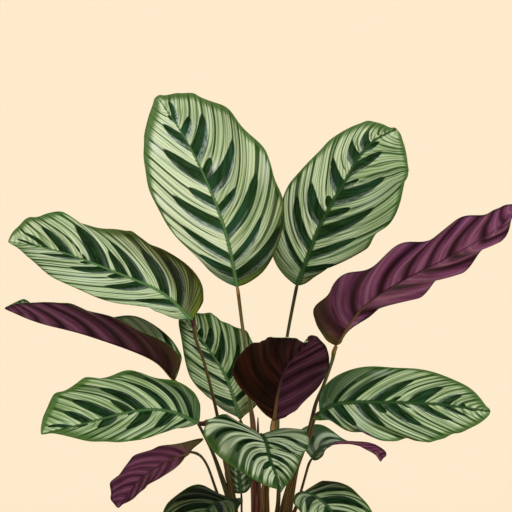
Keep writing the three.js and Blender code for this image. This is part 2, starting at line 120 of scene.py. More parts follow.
@dataclass
class Half:
    """One half of a blade: its fold, half widths, edge lift and ripple, and its feathers.

    A feather is (start, end, reach, width): where its centre line leaves the midrib and where it
    ends, how far out it reaches, and its half width. The reach is in hundredths of the blade's
    half width and the others in hundredths of its length.
    Bumps are small waves in the outline: (place, spread, height), with the first two in hundredths
    of the way from base to tip and the height in millimetres.
    Curls roll the edge over: (place, spread, start, degrees), with the start as a share of the half
    width and the first two as shares of the way from base to tip.
    The lobe beside the stem is (how far it reaches back, how soon it fades), as shares of the length.
    The hem is how much broader the green edge is, in millimetres, and the lean slants the vein lines.
    The rest are colours: how pale the stripes are, how much painted sheen (a painted silvery
    highlight) lies on the feathers, and the olive and dark green flush above and the brown flush
    below, each as (amount, how far up the blade it reaches).
    """

    fold: list
    half: list
    ripple: tuple
    lift: tuple = (0, 0, 0, 0, 0, 0, 0)
    feathers: tuple = ()
    bumps: tuple = ()
    curls: tuple = ()
    lobe: tuple = (0.018, 0.07)
    hem: float = 0.0
    lean: float = 0.0
    pale: float = 0.4
    sheen: float = 0.1
    olive: tuple = (0.4, 0.12)
    dark: tuple = (0.2, 0.1)
    brown: tuple = (0.6, 0.2)

    def __post_init__(self):
        self.feathers = [[share * PERCENT for share in feather] for feather in self.feathers]
        self.bumps = [(turn * PERCENT, spread * PERCENT, height) for turn, spread, height in self.bumps]


@dataclass
class Leaf:
    """A leaf: midrib points, facing directions, its halves, and how its colours are set.

    Sweep is how far the side veins slant forward, and pleat how high they fold the blade.
    Shade darkens the whole upper face and dusk the whole underside, both as painted shade, and a
    dusk above one paints light on it; fade turns the markings grey green.
    Lines is how broad the dark lines between the pale stripes are, and rib_light how light the
    midrib is from above.
    """

    midrib: list
    face: list
    left: Half
    right: Half
    sweep: float = 1.0
    shade: float = 1.0
    dusk: float = 1.0
    fade: float = 0.0
    lines: float = 1.0
    rib_light: float = 0.4
    pleat: float = 0.5
    stem_radius: float = 1.5


# Feathers of the leaves that turn their upper face away: large and small ones in turn
LEFT_FEATHERS = [
    (7, 8, 60, 1.4), (15, 16, 72, 2.2), (27, 26, 74, 3.2), (39, 39, 30, 2), (53, 52, 76, 4),
    (70, 68, 72, 3.4), (83, 81, 50, 2.2),
]
RIGHT_FEATHERS = [
    (11, 12, 62, 2), (21, 20, 76, 2.4), (34, 33, 40, 2.2), (46, 43, 78, 3.6), (61, 60, 76, 3.8),
    (75, 75, 56, 2.6),
]

LEAVES = {
    "leaf_upper_left": Leaf(
        midrib=[(-19, 20, 422), (-31, 22, 478), (-50, 35, 527), (-73, 58, 570), (-102, 90, 609)],
        face=[(0.1, -1, 0.35), (0.05, -1, 0.45)],
        left=Half(
            fold=[12], half=[6, 27, 52, 58, 51, 31, 10], ripple=(2, 4, 0), hem=1, pale=0.95, sheen=0.8,
            olive=(0.15, 0.06), dark=(0.9, 0.12), bumps=[(20, 12, 4), (53, 5, 2.7), (73, 3, 1.2)],
            feathers=[
                (6, 8, 65, 2), (12.8, 16, 72, 2.1), (27.5, 27, 74, 3.2), (38.5, 39, 46, 2.8),
                (51.5, 53, 77, 4.4), (70, 74, 70, 4.8), (85, 85, 30, 2),
            ],
        ),
        right=Half(
            fold=[14], half=[19, 46, 66, 66, 53, 38, 15], ripple=(3, 5, 0.2),
            lift=[0, 0, 0, -3, 4, -4, 0], hem=0.6, pale=0.5, sheen=0.8, olive=(0.9, 0.16),
            dark=(0.8, 0.12),
            bumps=[
                (16, 5, 2), (43, 4, -3.5), (52, 3, 2), (58.5, 2.5, -1), (66.5, 5, 4), (80, 2.5, 3),
                (86, 3, 1.8), (93, 5, -4),
            ],
            feathers=[
                (4.5, 7, 90, 2.2), (11.8, 14.2, 60, 1.8), (24, 21.5, 78, 2.2), (35.2, 31, 45, 2),
                (46.5, 37.5, 80, 3.6), (52.5, 52.5, 34, 2.5), (63.5, 62.5, 80, 4.2), (75, 74, 57, 2.6),
                (83, 90, 70, 2.6),
            ],
        ),
        lines=0.9, rib_light=0.7, stem_radius=1.8,
    ),
    "leaf_upper_right": Leaf(
        midrib=[
            (42, 40, 420), (66, 48, 482), (93, 60, 528), (105, 68, 548), (121, 80, 564), (145, 95, 575),
        ],
        face=[(0, -1, 0.3), (0, -1, 0.6)],
        left=Half(
            fold=[12], half=[10, 35, 45, 45, 37, 24, 9], ripple=(1.5, 4, 0), pale=0.55, sheen=0.4,
            olive=(0.6, 0.1), dark=(0.7, 0.14),
            bumps=[(16, 10, 6.5), (45, 4, 1.8), (70, 20, -1.2), (78, 2, 1.5), (91, 5, -3)],
            feathers=[
                (9, 10.5, 70, 1.4), (20, 17.5, 80, 2.4), (35, 26, 75, 3.5), (44, 41, 26, 2.2),
                (54, 44.5, 78, 3.6), (71, 62, 75, 3.4), (80, 73, 85, 3),
            ],
        ),
        right=Half(
            fold=[12], half=[5, 24, 52, 63, 57, 47, 24], ripple=(4, 5, 0.2), hem=0.5, pale=0.35,
            sheen=0.3, olive=(0.9, 0.2), dark=(0.6, 0.14),
            bumps=[
                (13, 6, 1.5), (29.5, 3, -4.5), (38, 3, 3), (45, 3, -3), (57, 5, 2), (66, 3, 1.5),
                (77, 6, 2.5), (93, 4, -3),
            ],
            feathers=[
                (8, 8, 55, 1.8), (15.5, 18.5, 62, 2.4), (27.5, 32, 74, 3.6), (37, 39, 36, 2.5),
                (47.5, 52, 70, 4.4), (55, 58, 26, 1.5), (64.5, 76, 50, 4.2), (79, 83, 24, 3.8),
            ],
        ),
        rib_light=0.1, stem_radius=1.8,
    ),
    "leaf_left_high": Leaf(
        midrib=[(-64.5, -5, 392), (-93, -8, 419), (-133, -10, 438), (-196, -5, 461), (-248, 5, 470)],
        face=[(0.1, -0.6, 0.8), (-0.1, -0.7, 0.7)],
        left=Half(
            fold=[5, 10, 15], half=[3, 20, 35, 44, 40, 21, 5], ripple=(2, 4, 0), hem=-1.5, pale=0.5,
            sheen=0.3, olive=(0.2, 0.05),
            bumps=[(20, 8, 2.5), (29, 3, 2.8), (70, 15, -1.5), (77, 4, 0.8)],
            feathers=[
                (11.5, 15.5, 66, 2.7), (29.5, 28.5, 65, 3.4), (41, 39.5, 34, 2.2), (48.5, 49.5, 68, 3.6),
                (58, 57, 29, 1.8), (65.5, 68.5, 77, 3.4), (77.5, 78, 20, 2),
            ],
        ),
        right=Half(
            fold=[20, 20, 15], half=[24, 39, 44, 46, 38, 36, 20], ripple=(3, 5, 0.2),
            lift=[0, -2, -5, -3, -10, 2, 3], hem=0.5, pale=0.55, sheen=0.2, olive=(1, 0.42),
            dark=(0.4, 0.25),
            bumps=[
                (9, 4, 3.5), (32, 6, 2), (40, 3, -2.4), (47, 1.5, 2), (56.5, 4.5, -3), (69.5, 3.5, 5.5),
                (78, 3, -4), (85, 2, 1), (89, 4, -1.6),
            ],
            feathers=[
                (9, 9.5, 95, 1.6), (18, 17, 75, 2.4), (31.5, 29.5, 80, 3.4), (40.5, 41.5, 46, 3),
                (52.5, 51, 80, 4.5), (60, 66, 85, 0.6), (69.5, 74.5, 76, 3.4), (80, 89, 70, 1.6),
                (86, 95, 35, 2),
            ],
        ),
        lines=1.1, rib_light=0.7, stem_radius=2.2,
    ),
    "leaf_left_purple": Leaf(
        midrib=[(-82, -8, 331), (-106, -10, 354), (-167, -10, 377), (-219, 0, 389), (-253, 10, 401)],
        face=[(0.1, -0.1, 1), (0, 0, 1)],
        left=Half(
            fold=[50], half=[8, 33, 38, 41, 39, 28, 10], ripple=(1.5, 5, 0), brown=(1, 0.5),
            bumps=[(20, 4, 4), (57, 3, 5), (66, 4, -1.5)],
            feathers=[
                (5, 7, 80, 2), (17, 17, 70, 3), (32, 29, 80, 3.6), (49, 43, 80, 4), (66, 60, 75, 3.6),
                (81, 77, 60, 3),
            ],
        ),
        right=Half(
            fold=[52, 26, 24], half=[10, 30, 42, 34, 30, 22, 16], ripple=(3, 5, 0.2), brown=(1, 0.6),
            bumps=[(12, 6, 4), (18, 3, 3), (33, 6, 2), (66, 6, 3), (88, 6, 9)],
            feathers=[
                (4, 6, 80, 2), (30, 25, 80, 4), (51, 45, 80, 4), (65.5, 59, 75, 3.6), (81, 81, 60, 3),
            ],
        ),
        dusk=0.62, pleat=0.9, stem_radius=2,
    ),
    "leaf_left_low": Leaf(
        midrib=[(-56, -70, 300), (-86, -78, 314), (-119, -90, 316), (-168, -102, 306), (-207, -110, 298)],
        face=[(0.1, -0.6, 0.8), (-0.1, -0.6, 0.8)],
        left=Half(
            fold=[0, 8, 10], half=[3, 15, 30, 41, 31, 13, 2], ripple=(2, 4, 0), pale=0.35,
            bumps=[(30, 12, 3), (34, 6, 1.8), (56, 4, 2.6), (70, 5, -1), (85, 5, -1)],
            feathers=[
                (7.5, 9, 50, 1), (18, 18, 66, 3), (34.5, 29.5, 74, 3.6), (43, 43, 20, 1.5),
                (57, 50, 70, 4.5), (77, 68, 55, 3.8),
            ],
        ),
        right=Half(
            fold=[10], half=[20, 33, 39, 46, 46, 39, 16], ripple=(3.5, 5, 0.2), hem=1.5, pale=0.35,
            dark=(0.9, 0.17),
            bumps=[(10, 6, 4), (29, 4, 2.8), (44, 5, 3.8), (59, 3, 2.5), (75, 4, 3.4), (88, 5, 3)],
            feathers=[
                (5, 7, 80, 1.2), (12.5, 13, 80, 1.3), (21, 20.5, 82, 2.4), (37, 36.5, 75, 3.2),
                (45, 45, 42, 2.6), (56.5, 61.5, 74, 4), (70.5, 74.5, 67, 3), (82, 93, 55, 2.5),
            ],
        ),
        lines=1.15, rib_light=0.45, stem_radius=2.2,
    ),
    "leaf_left_drooping": Leaf(
        midrib=[(-66, -10, 258), (-94, 5, 243), (-120, 22, 221), (-142, 35, 189)],
        face=[(-0.3, 1, 0.4), (-0.5, 1, 0.2)],
        left=Half(
            fold=[15], half=[9, 13, 18, 23, 20, 17, 7], ripple=(1.5, 3, 0), lobe=(0.22, 0.03),
            olive=(1, 0.08), brown=(0.3, 0.3),
            bumps=[(30, 12, 4), (37, 4, -1.5), (48, 3, 1.5), (70, 5, 4), (85, 5, 3.5)],
            feathers=[
                (6, 8, 80, 3), (17, 18, 80, 3), (30, 30, 80, 3), (43, 42, 80, 3), (56, 55, 80, 3),
                (69, 68, 75, 3), (82, 81, 60, 3),
            ],
        ),
        right=Half(
            fold=[15], half=[2, 6, 20, 18, 17, 13, 3], ripple=(2, 3, 0.2), brown=(0.3, 0.1),
            bumps=[(67, 4, 2.5), (84, 5, -3.3)],
            feathers=[
                (8, 10, 80, 3), (20, 20, 80, 3), (33, 32, 80, 3), (46, 46, 80, 3), (60, 62, 80, 3),
                (72, 75, 80, 3), (84, 86, 60, 3),
            ],
        ),
        dusk=0.88, stem_radius=1.3,
    ),
    "leaf_centre_back": Leaf(
        midrib=[(-16, 5, 288), (-30, 10, 330), (-51, 18, 362), (-76, 30, 392)],
        face=[(0.1, -1, 0.3)],
        left=Half(
            fold=[10], half=[1, 12, 28, 32, 25, 15, 7], ripple=(1.5, 3, 0), hem=-0.7, pale=0.45,
            sheen=0.2, dark=(0.8, 0.22), bumps=[(26, 5, 3), (50, 10, 0.8)],
            feathers=[
                (13, 13.5, 60, 2.4), (29, 35, 85, 2.2), (52, 56, 80, 4.5), (69, 70, 25, 3.6),
                (80, 79, 60, 2),
            ],
        ),
        right=Half(
            fold=[10], half=[5, 24, 33, 41, 33, 23, 10], ripple=(2, 4, 0.2), hem=-1, pale=0.3,
            olive=(0.8, 0.3), dark=(0.4, 0.15),
            bumps=[(19, 4, 4), (55, 3, 3), (67, 3, -2.3), (75, 2, 2), (80, 5, -2)],
            feathers=[
                (16, 14, 60, 2), (35, 29, 80, 2.6), (51, 46, 84, 4.2), (65, 62, 72, 3.5),
                (76, 74, 50, 2.8),
            ],
        ),
        shade=0.92, lines=1.2, rib_light=0.6, stem_radius=1.8,
    ),
    "leaf_centre_purple": Leaf(
        midrib=[(18, -20, 293), (23, -35, 328), (32, -60, 357), (57, -116, 395)],
        face=[(0, 1, 0.5)],
        left=Half(
            fold=[10], half=[9, 26, 42, 42, 33, 20, 7], ripple=(1.5, 3, 0), olive=(0.1, 0.1),
            brown=(0.4, 2), bumps=[(11, 5, 3), (20, 3, 2)],
            feathers=[(6, 8, 80, 3), (18, 19, 80, 3), (30, 33, 80, 4), (48, 62, 80, 4), (68, 81, 75, 4)],
        ),
        right=Half(
            fold=[10], half=[7, 26, 48, 44, 32, 13, 7], ripple=(2, 4, 0.2), hem=-3, pale=0.9,
            olive=(0.1, 0.1), brown=(1, 2.5),
            bumps=[(33, 4, 3), (56, 2, -2.5), (65, 3, 5), (70, 1.5, 1.5)],
            curls=[(0.83, 0.05, 0.35, -190)], feathers=RIGHT_FEATHERS,
        ),
        dusk=0.6, fade=0.5, pleat=0.6, stem_radius=2.4,
    ),
    "leaf_right_purple": Leaf(
        midrib=[
            (81, 10, 363), (106, -2, 403), (144, -18, 433), (188, -30, 458), (236, -38, 488),
            (257, -40, 512),
        ],
        face=[(-0.3, 0.8, 0.8)],
        left=Half(
            fold=[10], half=[2, 10, 33, 44, 37, 22, 9], ripple=(4.5, 6.27, 0.03), lean=0.12,
            brown=(0.2, 0.1),
            bumps=[(40, 7, 8.6), (48, 3, 2.5), (64, 3, 1.5), (70, 3, -1), (79, 3, 1.5), (86, 4, -3)],
            feathers=[
                (5, 7, 80, 3), (17, 14, 80, 4), (36, 30, 80, 4), (52, 44, 80, 4), (66, 56, 80, 4),
                (82, 73, 60, 3),
            ],
        ),
        right=Half(
            fold=[10], half=[16, 46, 43, 43, 37, 29, 13], ripple=(6, 5.9, 0.22), brown=(1, 0.2),
            bumps=[
                (10, 5, 3), (16, 3, 2), (25, 3, 3), (29.5, 2, -3.5), (36, 3, 2), (54.5, 4, -4),
                (62, 3, 2.2), (73.5, 5, 3.5), (85, 3, -1.5), (91, 4, 2.5),
            ],
            feathers=[
                (6, 7, 80, 3), (15.5, 17, 80, 3), (30.5, 30, 80, 4), (43.5, 42, 80, 3), (54, 53, 80, 3),
                (64, 64, 80, 4), (81, 79, 60, 3),
            ],
        ),
        sweep=0.8, pleat=1, stem_radius=2.2,
    ),
    "leaf_right_mid": Leaf(
        midrib=[(63, -45, 306), (84, -55, 317), (131, -70, 321), (178, -75, 320), (229, -75, 313)],
        face=[(-0.1, -0.6, 0.8)],
        left=Half(
            fold=[12], half=[18, 34, 41, 39, 35, 25, 9], ripple=(1.5, 4, 0), pale=0.35, sheen=0.3,
            olive=(0.3, 0.2), dark=(1, 0.24), bumps=[(9, 4, 5), (91, 4, -1.5)],
            feathers=[
                (10, 11, 60, 1.2), (18.5, 18.5, 78, 2.8), (34.5, 34, 75, 3.8), (43.5, 44.5, 24, 1.6),
                (57.5, 54.5, 76, 4.2), (72.5, 71, 77, 3.2), (84, 81, 40, 2),
            ],
        ),
        right=Half(
            fold=[-5], half=[8, 24, 37, 44, 44, 28, 11], ripple=(4, 5, 0.2), lobe=(0.065, 0.02),
            sheen=0.3, olive=(0.1, 0.1),
            bumps=[(25, 8, 3), (44, 3.5, 5), (52.5, 2.5, -5), (60.5, 3, 3.5), (70, 3, -4.2), (82, 5, 2)],
            feathers=[
                (3, 5, 90, 2), (12, 12.5, 65, 2.7), (26, 25, 65, 3.6), (34.5, 35, 31, 2.6),
                (42.5, 42, 73, 3.4), (49, 51, 25, 1), (59, 65, 74, 3.6), (73, 80, 62, 3), (86, 90, 30, 2),
            ],
        ),
        lines=1.15, rib_light=0.1, stem_radius=1.8,
    ),
    "leaf_front": Leaf(
        midrib=[(5, -75, 290), (10, -108, 288), (13, -140, 281), (19, -158, 269), (23, -166, 254)],
        face=[(0.25, -0.2, 1), (0.1, -0.9, 0.5)],
        left=Half(
            fold=[30, 10], half=[18, 32, 40, 40, 32, 19, 5], ripple=(1.5, 3, 0), hem=-1, pale=0.6,
            dark=(0.4, 0.25),
            feathers=[
                (14, 21.5, 80, 1.7), (28.5, 42, 90, 2.6), (40.5, 42, 20, 1.8), (56, 62, 85, 3.3),
                (72.5, 74.5, 68, 2),
            ],
        ),
        right=Half(
            fold=[22, 10], half=[26, 46, 62, 66, 44, 24, 5], ripple=(2, 4, 0.2), hem=-0.5, pale=0.8,
            dark=(0.3, 0.15), bumps=[(33, 15, -3.5), (56, 5, 9), (67, 4, -4), (90, 5, -3)],
            feathers=[
                (10, 8, 95, 2), (20, 26, 95, 1.2), (30, 35.5, 85, 1.8), (43, 42, 85, 0.6),
                (55.5, 52, 72, 2.4), (69, 66.5, 62, 2.8), (84, 84, 50, 1.4),
            ],
        ),
        shade=0.77, lines=1.3, rib_light=0.05, stem_radius=2.2,
    ),
    "leaf_right_small": Leaf(
        midrib=[(57, 18, 245), (70, 16, 258), (93, 12, 262), (115, 6, 258), (132, 2, 252)],
        face=[(-0.4, -0.8, 0.4), (0.1, 0.3, 1), (0, 0.8, 0.6)],
        left=Half(
            fold=[10], half=[22, 31, 28, 20, 14, 11, 7], ripple=(1, 3, 0), pale=0.9, bumps=[(86, 3, 8)],
            feathers=LEFT_FEATHERS,
        ),
        right=Half(
            fold=[10], half=[5, 9, 12, 13, 10, 8, 5], ripple=(1, 3, 0.2), pale=0.9,
            feathers=RIGHT_FEATHERS,
        ),
        dusk=1.3, fade=0.8, stem_radius=1.4,
    ),
    "leaf_front_left": Leaf(
        midrib=[(-24, -35, 214), (-40, -62, 218), (-52, -90, 210), (-60, -112, 189), (-66, -125, 156)],
        face=[(-0.1, -0.3, 1), (-0.4, -0.8, 0.4)],
        left=Half(
            fold=[20, 10], half=[4, 18, 34, 40, 38, 28, 12], ripple=(1.5, 3, 0), pale=0.2,
            olive=(0.4, 0.8), bumps=[(41, 4, 3)],
            feathers=[
                (12, 15, 80, 3), (24, 38, 85, 3.4), (40, 57, 88, 3.4), (58, 71, 85, 3.6), (76, 83, 70, 3),
            ],
        ),
        right=Half(
            fold=[20, 10], half=[15, 29, 36, 39, 36, 27, 12], ripple=(2, 4, 0.2), pale=0.2,
            olive=(0.4, 0.8),
            feathers=[
                (8, 9, 85, 2.6), (17, 17, 85, 3.4), (31, 29, 82, 4), (48, 47, 80, 3.6), (64, 64, 78, 3.4),
                (79, 79, 55, 2.4),
            ],
        ),
        shade=0.72, lines=1.7, rib_light=0.5, stem_radius=1.6,
    ),
    "leaf_front_right": Leaf(
        midrib=[(47, -45, 225), (61, -68, 224), (75, -92, 215), (86, -112, 194), (93, -124, 165)],
        face=[(0.1, -0.3, 1), (0.4, -0.8, 0.4)],
        left=Half(
            fold=[20, 10], half=[20, 29, 33, 37, 35, 26, 11], ripple=(1.5, 3, 0), olive=(0.8, 0.25),
            bumps=[(10, 5, 3.5), (45, 6, -2.5)],
            feathers=[
                (2, 4, 90, 2), (11, 12, 85, 2.8), (28, 25, 85, 5), (47, 44, 80, 3.6), (64, 62, 78, 3.6),
                (79, 77, 55, 2.6),
            ],
        ),
        right=Half(
            fold=[20, 10], half=[4, 16, 36, 42, 39, 29, 13], ripple=(2, 4, 0.2),
            feathers=[
                (7, 9, 70, 1.6), (18, 24, 75, 3.6), (40, 52, 80, 4.5), (60, 71, 82, 4), (77, 85, 65, 2.8),
            ],
        ),
        shade=0.9, lines=1.3, rib_light=0.35, stem_radius=1.6,
    ),
    "leaf_young": Leaf(
        midrib=[(-15, -4, 214), (-17, -6, 232), (-18, -10, 249), (-18, -15, 268)],
        face=[(0.1, -1, 0.3)],
        left=Half(
            fold=[-5], half=[6, 11, 14, 14, 12, 9, 4], ripple=(0.5, 2, 0), pale=0.9,
            feathers=LEFT_FEATHERS,
        ),
        right=Half(
            fold=[15], half=[6, 11, 14, 16, 15, 11, 5], ripple=(0.5, 2, 0.3), pale=0.9,
            feathers=RIGHT_FEATHERS,
        ),
        shade=0.95, fade=0.5, lines=1.6, pleat=0.2, stem_radius=1,
    ),
}

# The rolled new leaf, from its foot to its tip: (x, y, z, radius)
ROLLED_LEAF = [(2, -5, 262, 1.3), (2, -5.5, 275, 1.2), (2, -6, 285, 0.9), (2, -6, 293, 0.4)]
ROLLED_LEAF_SEAT = 3  # how far its petiole reaches into it


@dataclass
class Petiole:
    """A leaf's stem: its radius right below the blade, its way down, and its colours downwards.

    The pulvinus is the short joint right below the blade, which has a colour of its own.
    """

    leaf: str
    end_radius: float
    path: list
    pulvinus: str = "maroon"
    colours: tuple = ("olive_brown",)


# Each shoot: where its crown stands, and its petioles from the blade down, as (x, y, z, radius)
SHOOTS = {
    "shoot_left": ((-18, -11), [
        Petiole("leaf_left_high", 2.4, [
            (-60.5, -9, 374, 1.6), (-52.7, -10, 352, 1.5), (-44.8, -11, 322, 1.6),
            (-38.5, -13, 294, 1.7), (-32, -16, 254, 2), (-27, -17, 231, 3), (-23, -16, 205, 4),
        ], colours=("olive_brown", "dark_olive", "stem_olive")),
        Petiole("leaf_left_purple", 2.2, [
            (-72, -11, 312, 1.4), (-57, -14, 286, 1.5), (-44.5, -16, 261, 1.7), (-35.3, -18, 236, 2.4),
            (-26, -17, 205, 3.5),
        ], "stem_tan", ("dark_olive", "dark_olive", "stem_olive")),
        Petiole("leaf_left_low", 2.6, [
            (-47, -60, 300, 1.6), (-40, -44, 288, 1.5), (-32, -26, 257, 1.8), (-26, -19, 226, 2.5),
        ]),
        Petiole("leaf_left_drooping", 1.6, [
            (-54, -14, 253, 1.3), (-48, -16, 243, 1.3), (-41, -17, 223, 1.4), (-30, -15, 189, 2),
        ], "dark_olive", ("dark_olive",)),
        Petiole("leaf_front_left", 2.2, [(-19, -28, 197, 1.8), (-16, -20, 175, 2.2)]),
    ]),
    "shoot_centre": ((0, 6), [
        Petiole("leaf_upper_left", 1.8, [
            (-14.6, 14, 389, 1.7), (-10.4, 2, 359, 1.8), (-5.8, -3, 307, 2), (-2.6, 0, 278, 3),
            (0.5, 4, 205, 5.7),
        ], "stem_tan", ("olive_brown", "stem_olive", "sheath_red", "sheath_red")),
        Petiole("leaf_centre_back", 1.8, [
            (-10, 5, 267, 1.6), (-4, 5, 226, 2), (-1, 5, 174, 4),
        ], "stem_olive"),
        Petiole("leaf_young", 1.1, [(-14, 0, 188, 1.1), (-8, 5, 165, 1.6)]),
        Petiole("leaf_rolled", 1.2, [(1, -1, 227, 1.4), (0, 3, 174, 3)]),
    ]),
    "shoot_centre_right": ((12, -9), [
        Petiole("leaf_centre_purple", 3.2, [
            (16.5, -19, 275, 3.3), (11.4, -16, 241, 4), (8.5, -12, 197, 4.2),
        ], "tan", ("tan", "stem_tan", "olive_brown")),
        Petiole("leaf_front", 2.4, [(7, -62, 270, 2), (10, -42, 237, 2.2), (11, -22, 196, 3)]),
        Petiole("leaf_upper_right", 1.8, [
            (31.6, 35, 367, 1.6), (24, 26, 314, 1.6), (22, 16, 265, 1.8), (22.5, 8, 200, 2.3),
        ], "dark_olive", ("dark_olive", "stem_olive", "olive_brown")),
    ]),
    "shoot_right": ((26, 4), [
        Petiole("leaf_right_purple", 2.4, [
            (76.7, 10, 347, 1.8), (68.3, 8, 323, 1.8), (60.2, 4, 304, 1.9), (53, 0, 275, 2.6),
            (38, -3, 233, 3.5), (28.5, -2, 194, 5),
        ], "stem_tan", ("stem_olive", "dark_olive", "olive_brown", "olive_brown")),
        Petiole("leaf_right_mid", 2, [(57, -28, 292, 1.7), (53, -12, 271, 2), (40.5, -5, 238, 2.6)]),
        Petiole("leaf_right_small", 1.4, [(50.6, 14, 229, 1.3), (45, 10, 210, 1.4), (34, 5, 174, 2)]),
        Petiole("leaf_front_right", 2, [(41, -34, 209, 1.8), (31, -16, 179, 2.4)]),
    ]),
}

# ---- Colours, as shown on a screen ----

COLOURS = {
    "cream_stripe": "ccd9b0",
    "green_stripe": "748e58",
    "line_green": "365625",
    "feather_green": "2a4a22",
    "feather_black": "081a04",
    "blue_green": "2c5540",
    # A painted highlight: the sheen painted beside the feathers
    "sheen_highlight_green": "b4c3b8",
    "leaf_green": "55763e",
    "edge_green": "3d5f2b",
    "gold_green": "5b7226",
    "painted_gloss": "dde5da",
    "olive": "3b3d10",
    "tan_olive": "72713c",
    "grey_green": "8ba18a",
    "purple": "56294a",
    "purple_light": "88507a",
    "purple_dark": "240a12",
    # A painted highlight: the light lines along the underside's crests
    "purple_highlight": "98708c",
    "brown_black": "20130a",
    "maroon": "35141a",
    "olive_brown": "4c3c1c",
    "dark_olive": "33301a",
    "stem_olive": "4f4f27",
    "stem_tan": "75592f",
    "sheath_red": "7b4d40",
    "gold_olive": "5c6c1c",
    "tail_green": "1c3814",
    "base_green": "213f20",
    "rib_dark": "2a4420",
    "rib_pale": "648653",
    "red_brown": "4c2614",
    "tan": "7a5f38",
    "soil_dark": "241a12",
    "soil_light": "4a3828",
    "bark": "5b3d26",
    "perlite": "d9d4c8",
    "terracotta": "b5694a",
    "terracotta_dark": "9a5439",
    "floor": "fde9cb",
}


def colour(name):
    """A named colour in linear light, with alpha."""
    code = COLOURS[name]
    shown = [int(code[i:i + 2], 16) / 255 for i in (0, 2, 4)]
    linear = [c / 12.92 if c <= 0.04045 else ((c + 0.055) / 1.055) ** 2.4 for c in shown]
    return (*linear, 1.0)


# ---- Curves ----

def smooth_through(values, share):
    """A smooth curve through numbers or vectors given in even steps, at a share from 0 to 1."""
    last = len(values) - 1
    place = min(max(share, 0), 1) * last
    index = min(int(place), last - 1)
    t = place - index
    a = values[index - 1] if index > 0 else values[0] * 2 - values[1]
    b = values[index]
    c = values[index + 1]
    d = values[index + 2] if index + 2 <= last else values[last] * 2 - values[last - 1]
    leave = (c - a) / 2
    arrive = (d - b) / 2
    cubic = b * 2 - c * 2 + leave + arrive
    square = c * 3 - b * 3 - leave * 2 - arrive
    return (cubic * t + square) * t * t + leave * t + b


def blend_steps(values, share):
    """Numbers or vectors given in even steps, blended smoothly at a share from 0 to 1."""
    last = len(values) - 1
    if last == 0:
        return values[0]
    place = min(max(share, 0), 1) * last
    index = min(int(place), last - 1)
    t = place - index
    t = t * t * (3 - 2 * t)
    return values[index] * (1 - t) + values[index + 1] * t


class Midrib:
    """The curved line of a leaf's midrib, with its point and direction at any distance from the base."""

    def __init__(self, points):
        knots = [Vector(p) for p in points]
        self.points = [smooth_through(knots, i / (MIDRIB_SAMPLES - 1)) for i in range(MIDRIB_SAMPLES)]
        self.along = [0.0]
        for before, after in zip(self.points, self.points[1:]):
            self.along.append(self.along[-1] + (after - before).length)
        self.length = self.along[-1]
        last = MIDRIB_SAMPLES - 1
        self.directions = [
            (self.points[min(i + 1, last)] - self.points[max(i - 1, 0)]).normalized()
            for i in range(MIDRIB_SAMPLES)
        ]

    def at(self, distance):
        inside = min(max(distance, 0), self.length)
        low, high = 0, MIDRIB_SAMPLES - 1
        while high - low > 1:
            middle = (low + high) // 2
            if self.along[middle] < inside:
                low = middle
            else:
                high = middle
        share = (inside - self.along[low]) / (self.along[high] - self.along[low])
        direction = self.directions[low].lerp(self.directions[high], share).normalized()
        point = self.points[low].lerp(self.points[high], share) + direction * (distance - inside)
        return point, direction


# ---- The form and the markings of a blade ----

def flush(tint, place, spread=1.0):
    """How strong a flush of colour is, at a share of the length from the base."""
    amount, reach = tint
    gone = min(place / (reach * spread), 1)
    return amount * (1 - gone * gone * (3 - 2 * gone))


